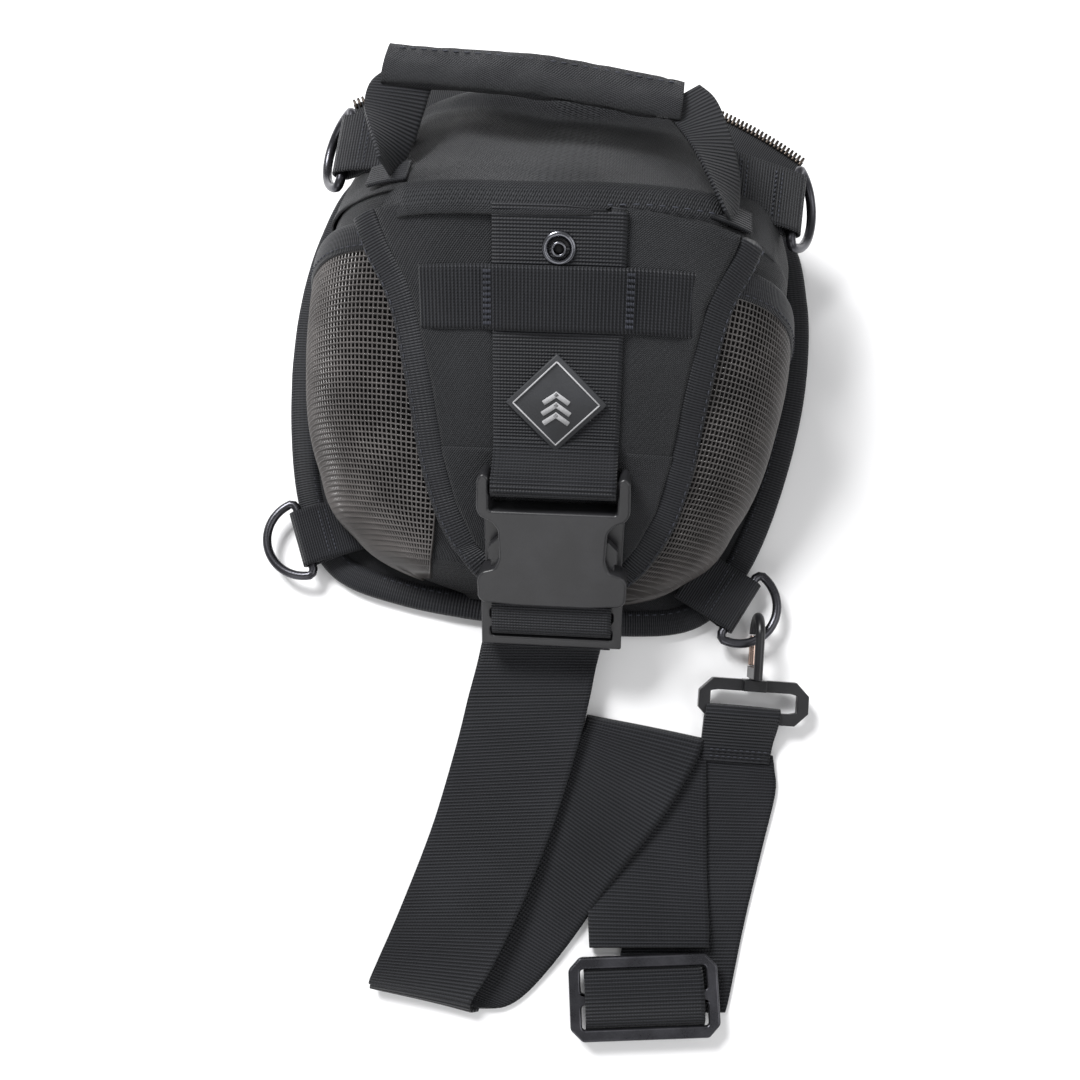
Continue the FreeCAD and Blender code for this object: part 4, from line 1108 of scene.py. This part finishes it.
class POUCH_OT_handle(bpy.types.Operator):
    """The carry handle: a padded sleeve on a webbing leg at each end"""
    bl_idname = "pouch.handle"
    bl_label = "Handle"

    def execute(self, context):
        low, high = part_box("handle_sleeve")
        middle = (low + high) / 2 + Vector((-6.5, 3.5, 0)) * MM
        half_long = 58.0

        def frame_at(v):
            x = (2 * v - 1) * half_long
            sag = -1.5 * math.cos(math.pi * v * 2) * 0.5
            spot = middle + Vector((x, sag, 1.6 * math.sin(math.pi * v))) * MM
            tilt = Matrix.Rotation(math.radians(-22), 3, "X")
            return spot, tilt @ Vector((0, 1, 0)), tilt @ Vector((0, 0, 1))

        def place(u, v):
            spot, across, normal = frame_at(v)
            angle = 2 * math.pi * u
            c, s = math.cos(angle), math.sin(angle)
            fat = 1.0 - 0.12 * abs(2 * v - 1) ** 6
            wide = math.copysign(abs(c) ** 0.75, c) * 11.2 * MM
            high = math.copysign(abs(s) ** 0.9, s) * (4.3 * fat) * MM * (1.0 - 0.35 * (c > 0.75))
            point = spot + across * wide + normal * high
            push = ripple(point, 13, 1.1, 40.0) + ripple(point, 6, 0.4, 41.0)
            return point + normal * push * (1 if s > 0 else -1)
        sleeve = cloth("handle_cover", 110, 44, place, (0.066, 0.11), 0, closed=True)
        bm = bmesh.new()
        bm.from_mesh(sleeve.data)
        bmesh.ops.holes_fill(bm, edges=[e for e in bm.edges if e.is_boundary], sides=0)
        bmesh.ops.recalc_face_normals(bm, faces=bm.faces)
        bm.to_mesh(sleeve.data)
        bm.free()
        dress(sleeve, "handle", FINISHES["pouch_fabric"], ["handle_sleeve"])
        line = []
        for v in np.linspace(0.02, 0.98, 90):
            spot, across, normal = frame_at(v)
            line.append(spot + across * 4.5 * MM + normal * 4.35 * MM)
        dress(stitches("handle_thread", [line], 4.2, 2.8, 0.4), "handle", FINISHES["thread"])
        web = FINISHES["webbing"]
        left_leg = [(-69, 41, 117.5, -66, 40, 104.0), (-71, 46, 117.0, -65, 45, 105.0),
                    (-75, 56, 115.0, -62, 55, 106.5), (-78, 66, 112.0, -60, 66, 109.0),
                    (-77, 77, 110.0, -58, 78, 110.5), (-70, 86, 108.0, -54, 88, 108.0)]
        right_leg = [(62, 39, 115.0, 66, 39, 103.0), (58, 46, 116.0, 66, 46, 106.0),
                     (52, 57, 115.5, 64, 58, 109.5), (46, 67, 114.0, 59, 71, 111.0),
                     (40, 76, 111.0, 52, 86, 109.0), (34, 83, 108.0, 45, 93, 107.0)]
        for side, rows in (("left", left_leg), ("right", right_leg)):
            leg, length = ribbon(f"handle_leg_{side}", rows, 36, thick=1.4, across=14, spread=1.25)
            dress(leg, "handle", web, ["handle_webbing"] if side == "left" else [])
        for side, x in (("left", -67.0), ("right", 64.0)):
            def place(u, v, x=x):
                return on_bag(x + (2 * u - 1) * 8.0, 36 + v * 11, 2.8)
            anchor = cloth(f"handle_root_{side}", 8, 14, place, (0.025, 0.012), 1.4 * MM, offset=-1.0)
            dress(anchor, "bag", web, [f"handle_anchor_{side}"])
        return {"FINISHED"}


# ---------------------------------------------------------------- zip


ZIP_HALF = math.radians(31)
ZIP_RADIUS = 190.0
ZIP_MIDDLE = Vector((0, -69, 0))


def zip_spot(angle, radius, level):
    """A place on the zip's arc, in metres."""
    return (ZIP_MIDDLE + Vector((math.sin(angle) * radius, math.cos(angle) * radius, level))) * MM


class POUCH_OT_zip(bpy.types.Operator):
    """Two zip tapes with their teeth, the slider and its pull"""
    bl_idname = "pouch.zip"
    bl_label = "Zip"

    def execute(self, context):
        tooth_gap = context.scene.pouch_sizes.tooth_pitch
        for row, level, lean in (("back", 54.0, -1), ("front", 62.0, 1)):
            def place(u, v, level=level, lean=lean):
                radius = 164 + 24.5 * u
                lift = lean * 5.0 * (1 - u) ** 2
                return zip_spot((2 * v - 1) * ZIP_HALF, radius, level + lift)
            tape = cloth(f"zip_tape_{row}", 130, 8, place, (0.028, 0.205), 0.9 * MM, offset=0.0)
            dress(tape, "bag", FINISHES["zip_tape"], [f"zip_row_{row}"])
            bm = bmesh.new()
            count = int(2 * ZIP_HALF * ZIP_RADIUS * MM / tooth_gap)
            for k in range(count):
                angle = (2 * (k + 0.5) / count - 1) * ZIP_HALF
                spin = Matrix.Translation(zip_spot(angle, ZIP_RADIUS - 1.2, level)) @ Matrix.Rotation(
                    -angle, 4, "Z")
                block(bm, (-0.55, -2.4, -1.5), (0.55, 1.6, 1.5), spin, 0.3, 1)
            dress(to_object(f"zip_teeth_{row}", bm), "bag", FINISHES["zip_metal"])
        dress(rounded_copy("slider_shell", "zip_slider", 0.5, 2), "zip_slider",
              FINISHES["zip_metal"], ["zip_slider"])
        dress(rounded_copy("pull_shell", "zip_pull", 0.5, 2), "zip_pull",
              FINISHES["zip_metal"], ["zip_pull"])
        return {"FINISHED"}


# ---------------------------------------------------------------- rings and hook


RING_RADIUS = 17
RING_FRAMES = (
    ("upper_right", (93, 65, 77), 0, 22, 32), ("upper_left", (-93, 65, 77), 180, 22, 32),
    ("lower_left", (-97, -89, 9), 205, 0, 0), ("lower_right", (99, -92, 9), -25, 0, 0))


class POUCH_OT_rings(bpy.types.Operator):
    """Four D-rings in their loops of webbing"""
    bl_idname = "pouch.rings"
    bl_label = "D-Rings"

    def execute(self, context):
        for name, point, facing, droop, hang in RING_FRAMES:
            place = (Matrix.Translation(Vector(point) * MM) @ Matrix.Rotation(math.radians(facing), 4, "Z")
                     @ Matrix.Rotation(math.radians(droop), 4, "Y"))
            self.ring(name, place @ Matrix.Rotation(math.radians(hang), 4, "Y"))
            self.loop(name, place, droop)
        return {"FINISHED"}

    def ring(self, name, place):
        """The ring: a bar and a half round, in one bent wire."""
        line = [(0, y) for y in np.linspace(-14.5, 14.5, 9)]
        corner = [(0.9, 16.2), (2.4, 16.9)]
        turns = np.linspace(math.radians(76), math.radians(-76), 30)
        bow = [(RING_RADIUS * math.cos(a), RING_RADIUS * math.sin(a)) for a in turns]
        path = line + corner + bow + [(x, -y) for x, y in reversed(corner)]
        wire = rope(f"ring_{name}", [place @ (Vector((x, y, 0)) * MM) for x, y in path], 2.0 * MM, 16, True)
        dress(wire, f"dring_{name}", FINISHES["gunmetal"], [f"dring_{name}"])

    def loop(self, name, place, droop):
        """Webbing through the ring, its two ends sewn to the bag."""
        reach = -33.0 if droop else -26.0
        profile = route([(reach, 2.6 if droop else 1.0, 0), (-24, 2.9, 0), (-14, 3.2, 0), (-6, 3.5, 0),
                         (-1.8, 3.3, 0), (1.4, 2.9, 0), (3.2, 0.6, 0), (2.4, -2.2, 0), (-0.6, -3.3, 0),
                         (-6, -1.6, 0), (-14, 1.2, 0), (reach, 0.6, 0)], 61)

        def lay(u, v):
            spot = sample(profile, v)
            point = place @ (Vector((spot[0], (2 * u - 1) * 12.5, spot[1])) * MM)
            return point + Vector((0, 0, 1)) * ripple(point, 20, 0.4, 50.0)
        loop = cloth(f"ring_loop_{name}", 90, 14, lay, (0.025, 0.09), 1.2 * MM, offset=0.0)
        dress(loop, "bag", FINISHES["webbing"], [f"dring_loop_{name}"])
        lines = []
        for x in (-9.5, -12.5) + ((-26.0, -29.0) if droop else ()):
            lines.append([place @ (Vector((x, y, 4.2)) * MM) for y in np.linspace(-10.5, 10.5, 20)])
        dress(stitches(f"ring_thread_{name}", lines, 2.0, 1.5, 0.3), "bag", FINISHES["thread"])


class POUCH_OT_hook(bpy.types.Operator):
    """The snap hook, its gate and the oval ring that carries the strap"""
    bl_idname = "pouch.hook"
    bl_label = "Snap Hook"

    def execute(self, context):
        dress(rounded_copy("hook_shell", "hook_body", 0.5, 2, 40), "hook",
              FINISHES["hook_black"], ["hook_body"])
        dress(rounded_copy("gate_shell", "hook_gate", 0.4, 2, 40), "gate",
              FINISHES["gate_metal"], ["hook_gate"])
        dress(rounded_copy("oval_ring", "hook_ring", 1.2, 4, 30), "bag",
              FINISHES["hook_black"], ["hook_ring"])
        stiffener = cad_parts["back_stiffener"]
        stiffener.data.materials.clear()
        stiffener.data.materials.append(FINISHES["stiffener_sheet"])
        return {"FINISHED"}


# ---------------------------------------------------------------- stage


# Name, place and size in metres, power in watts.
LIGHTS = (
    ("key_light", (-0.6, 0.5, 0.95), 0.42, 22.0),
    ("fill_light", (0.9, -0.2, 1.0), 0.9, 5.0),
    ("front_light", (-0.2, -1.1, 0.8), 0.8, 3.5))
WORLD_STRENGTH = 0.38
FLOOR_DEPTH = -0.0002


class POUCH_OT_stage(bpy.types.Operator):
    """Pale floor, soft lights and the camera"""
    bl_idname = "pouch.stage"
    bl_label = "Stage"

    def execute(self, context):
        colours = context.scene.pouch_colours
        bm = bmesh.new()
        bmesh.ops.create_grid(bm, x_segments=1, y_segments=1, size=4.0)
        floor = to_object("floor", bm)
        for vert in floor.data.vertices:
            vert.co.z = FLOOR_DEPTH
        ground = Finish("floor_paper", roughness=0.85, specular=0.2)
        ground.shader.inputs["Base Color"].default_value = (*colours.floor, 1)
        floor.data.materials.append(ground.material)
        world = bpy.data.worlds.new("studio")
        world.use_nodes = True
        world.node_tree.nodes["Background"].inputs[0].default_value = (1, 1, 1, 1)
        world.node_tree.nodes["Background"].inputs[1].default_value = WORLD_STRENGTH
        context.scene.world = world
        for name, spot, size, power in LIGHTS:
            light = bpy.data.lights.new(name, "AREA")
            light.size = size
            light.energy = power
            lamp = bpy.data.objects.new(name, light)
            lamp.location = spot
            aim = Vector((0, -0.05, 0.03)) - Vector(spot)
            lamp.rotation_euler = aim.to_track_quat("-Z", "Y").to_euler()
            context.scene.collection.objects.link(lamp)
        lens = bpy.data.cameras.new("camera")
        lens.lens = 38.33
        lens.sensor_width = 36.0
        lens.clip_start, lens.clip_end = 0.01, 20
        camera = bpy.data.objects.new("camera", lens)
        right, up, back = Vector((0.9903, 0.1392, 0)), Vector((-0.1371, 0.9752, 0.1736)), Vector(
            (0.0242, -0.1720, 0.9848))
        camera.matrix_world = Matrix.Translation((0.0200, -0.1638, 0.517)) @ Matrix(
            (right, up, back)).transposed().to_4x4()
        context.scene.collection.objects.link(camera)
        context.scene.camera = camera
        context.scene.view_settings.view_transform = "Standard"
        return {"FINISHED"}


# ---------------------------------------------------------------- settings and panel


class POUCH_PG_sizes(bpy.types.PropertyGroup):
    """Sizes of the repeated details"""
    net_pitch: bpy.props.FloatProperty(name="Net Pitch", description="Distance between the net's strands",
                                       default=0.0019, min=0.001, max=0.01, unit="LENGTH", precision=4)
    net_strand: bpy.props.FloatProperty(name="Net Strand", description="Thickness of a strand",
                                        default=0.00118, min=0.0003, max=0.003, unit="LENGTH", precision=4)
    tooth_pitch: bpy.props.FloatProperty(name="Tooth Pitch", description="Distance between zip teeth",
                                         default=0.0019, min=0.001, max=0.01, unit="LENGTH", precision=4)


class POUCH_PG_colours(bpy.types.PropertyGroup):
    """Colours of the stage"""
    floor: bpy.props.FloatVectorProperty(name="Floor", description="Colour of the floor",
                                         default=(0.93, 0.93, 0.94), min=0, max=1, subtype="COLOR")


STEPS = (POUCH_OT_stage, POUCH_OT_body, POUCH_OT_edges, POUCH_OT_pockets, POUCH_OT_flap,
         POUCH_OT_flap_webbing, POUCH_OT_patch, POUCH_OT_snap, POUCH_OT_buckle, POUCH_OT_strap,
         POUCH_OT_glide, POUCH_OT_handle, POUCH_OT_zip, POUCH_OT_rings, POUCH_OT_hook)


class POUCH_PT_panel(bpy.types.Panel):
    """Lists the pouch's pieces"""
    bl_idname = "POUCH_PT_panel"
    bl_label = "Mask Pouch"
    bl_space_type = "VIEW_3D"
    bl_region_type = "UI"
    bl_category = "Pouch"

    def draw(self, context):
        for name in ("net_pitch", "net_strand", "tooth_pitch"):
            self.layout.prop(context.scene.pouch_sizes, name)
        self.layout.prop(context.scene.pouch_colours, "floor")
        for step in STEPS:
            self.layout.operator(step.bl_idname)


CLASSES = (POUCH_PG_sizes, POUCH_PG_colours, *STEPS, POUCH_PT_panel)


def register():
    for kind in CLASSES:
        bpy.utils.register_class(kind)
    bpy.types.Scene.pouch_sizes = bpy.props.PointerProperty(type=POUCH_PG_sizes)
    bpy.types.Scene.pouch_colours = bpy.props.PointerProperty(type=POUCH_PG_colours)


def unregister():
    del bpy.types.Scene.pouch_colours
    del bpy.types.Scene.pouch_sizes
    for kind in reversed(CLASSES):
        bpy.utils.unregister_class(kind)


def main():
    register()
    make_finishes()
    for step in STEPS:
        area, name = step.bl_idname.split(".")
        getattr(getattr(bpy.ops, area), name)()
    bpy.context.view_layer.update()


if __name__ == "__main__":
    main()
